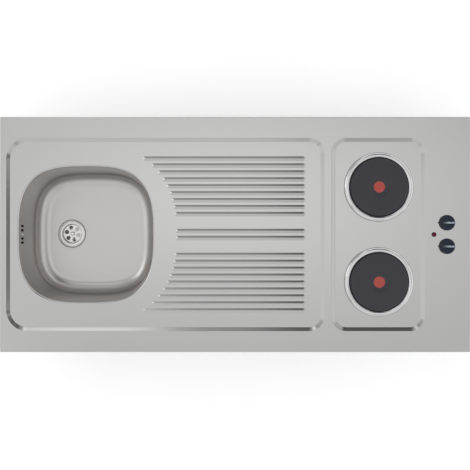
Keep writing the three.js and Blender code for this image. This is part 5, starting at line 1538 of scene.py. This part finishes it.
def soft_light(name, place, size, power):
    """A square softbox that faces the origin and isn't itself seen by the camera."""
    data = bpy.data.lights.new(name, "AREA")
    data.shape = "SQUARE"
    data.size = size
    data.energy = power
    lamp = bpy.data.objects.new(name, data)
    lamp.location = place
    lamp.rotation_euler = (-Vector(place)).to_track_quat("-Z", "Y").to_euler()
    lamp.visible_camera = False
    bpy.context.scene.collection.objects.link(lamp)


FLOOR_LIFT = 0.34  # what the floor adds to its own light for the camera, to show as white


def floor_material(tint):
    """Pale floor that shows as white and keeps the shadow. From below it is clear."""
    material = bpy.data.materials.new("floor")
    material.use_nodes = True
    tree = material.node_tree
    principled = tree.nodes["Principled BSDF"]
    principled.inputs["Base Color"].default_value = (*tint, 1)
    principled.inputs["Roughness"].default_value = 0.9
    rays = tree.nodes.new("ShaderNodeLightPath")
    seen = calculate(tree, "ADD", rays.outputs["Is Camera Ray"], rays.outputs["Is Glossy Ray"])
    seen = calculate(tree, "ADD", seen, rays.outputs["Is Transmission Ray"], clamp=True)
    node = tree.nodes.new("ShaderNodeVectorMath")
    node.operation = "SCALE"
    node.inputs[0].default_value = (FLOOR_LIFT, FLOOR_LIFT, FLOOR_LIFT)
    tree.links.new(seen, node.inputs["Scale"])
    tree.links.new(node.outputs[0], principled.inputs["Emission Color"])
    principled.inputs["Emission Strength"].default_value = 1.0
    below = tree.nodes.new("ShaderNodeNewGeometry").outputs["Backfacing"]
    tree.links.new(calculate(tree, "SUBTRACT", 1.0, below), principled.inputs["Alpha"])
    return material


class WORKTOP_OT_stage(Operator):
    """Make the floor, the lights and the camera"""

    bl_idname = "worktop.stage"
    bl_label = "Stage"

    def execute(self, context):
        scene = context.scene
        stage = scene.worktop_stage
        scene.view_settings.view_transform = "Standard"
        studio_world()
        soft_light("key", stage.key_place, stage.key_size, stage.key_power)
        self.place_floor(scene, stage)
        self.place_camera(scene, stage)
        return {"FINISHED"}

    def place_floor(self, scene, stage):
        """The floor, just below the lowest piece."""
        half = stage.floor_reach
        z = CAD_BOX[0].z - stage.floor_gap
        corners = [(-half, -half, z), (half, -half, z), (half, half, z), (-half, half, z)]
        mesh = bpy.data.meshes.new("floor")
        mesh.from_pydata(corners, [], [(0, 1, 2, 3)])
        mesh.materials.append(floor_material(scene.worktop_colours.floor))
        floor = bpy.data.objects.new("floor", mesh)
        scene.collection.objects.link(floor)

    def place_camera(self, scene, stage):
        """A camera that looks straight down, shifted so that the deck sits as photographed."""
        data = bpy.data.cameras.new("camera")
        data.lens = data.sensor_width * stage.distance / stage.view
        data.shift_y = (stage.middle - stage.ahead) / stage.view
        data.clip_end = 50
        camera = bpy.data.objects.new("camera", data)
        camera.location = (0.0, stage.ahead, DECK_BOX[1].z + stage.distance)
        scene.collection.objects.link(camera)
        scene.camera = camera


# ------------------------------------------------------------------ Add-on

STEPS = [
    WORKTOP_OT_deck,
    WORKTOP_OT_bowl,
    WORKTOP_OT_waste,
    WORKTOP_OT_hotplates,
    WORKTOP_OT_knobs,
    WORKTOP_OT_lamp,
    WORKTOP_OT_kept_pieces,
    WORKTOP_OT_stage,
]


class WORKTOP_PT_panel(Panel):
    """The steps and the sizes, in the sidebar"""

    bl_label = "Kitchenette worktop"
    bl_space_type = "VIEW_3D"
    bl_region_type = "UI"
    bl_category = "Worktop"

    def draw(self, context):
        for step in STEPS:
            self.layout.operator(step.bl_idname)
        for name, group in GROUPS.items():
            box = self.layout.box()
            for key in group.__annotations__:
                box.prop(getattr(context.scene, f"worktop_{name}"), key)


def register():
    """Adds the classes, and their settings to each scene."""
    for cls in (*GROUPS.values(), *STEPS, WORKTOP_PT_panel):
        bpy.utils.register_class(cls)
    for name, group in GROUPS.items():
        setattr(bpy.types.Scene, f"worktop_{name}", PointerProperty(type=group))


def unregister():
    """Takes the settings and the classes away again."""
    for name in GROUPS:
        delattr(bpy.types.Scene, f"worktop_{name}")
    for cls in reversed((*GROUPS.values(), *STEPS, WORKTOP_PT_panel)):
        bpy.utils.unregister_class(cls)


def main():
    """Makes all pieces and the stage in order."""
    register()
    for step in STEPS:
        getattr(bpy.ops.worktop, step.bl_idname.split(".")[1])()


if __name__ == "__main__":
    main()
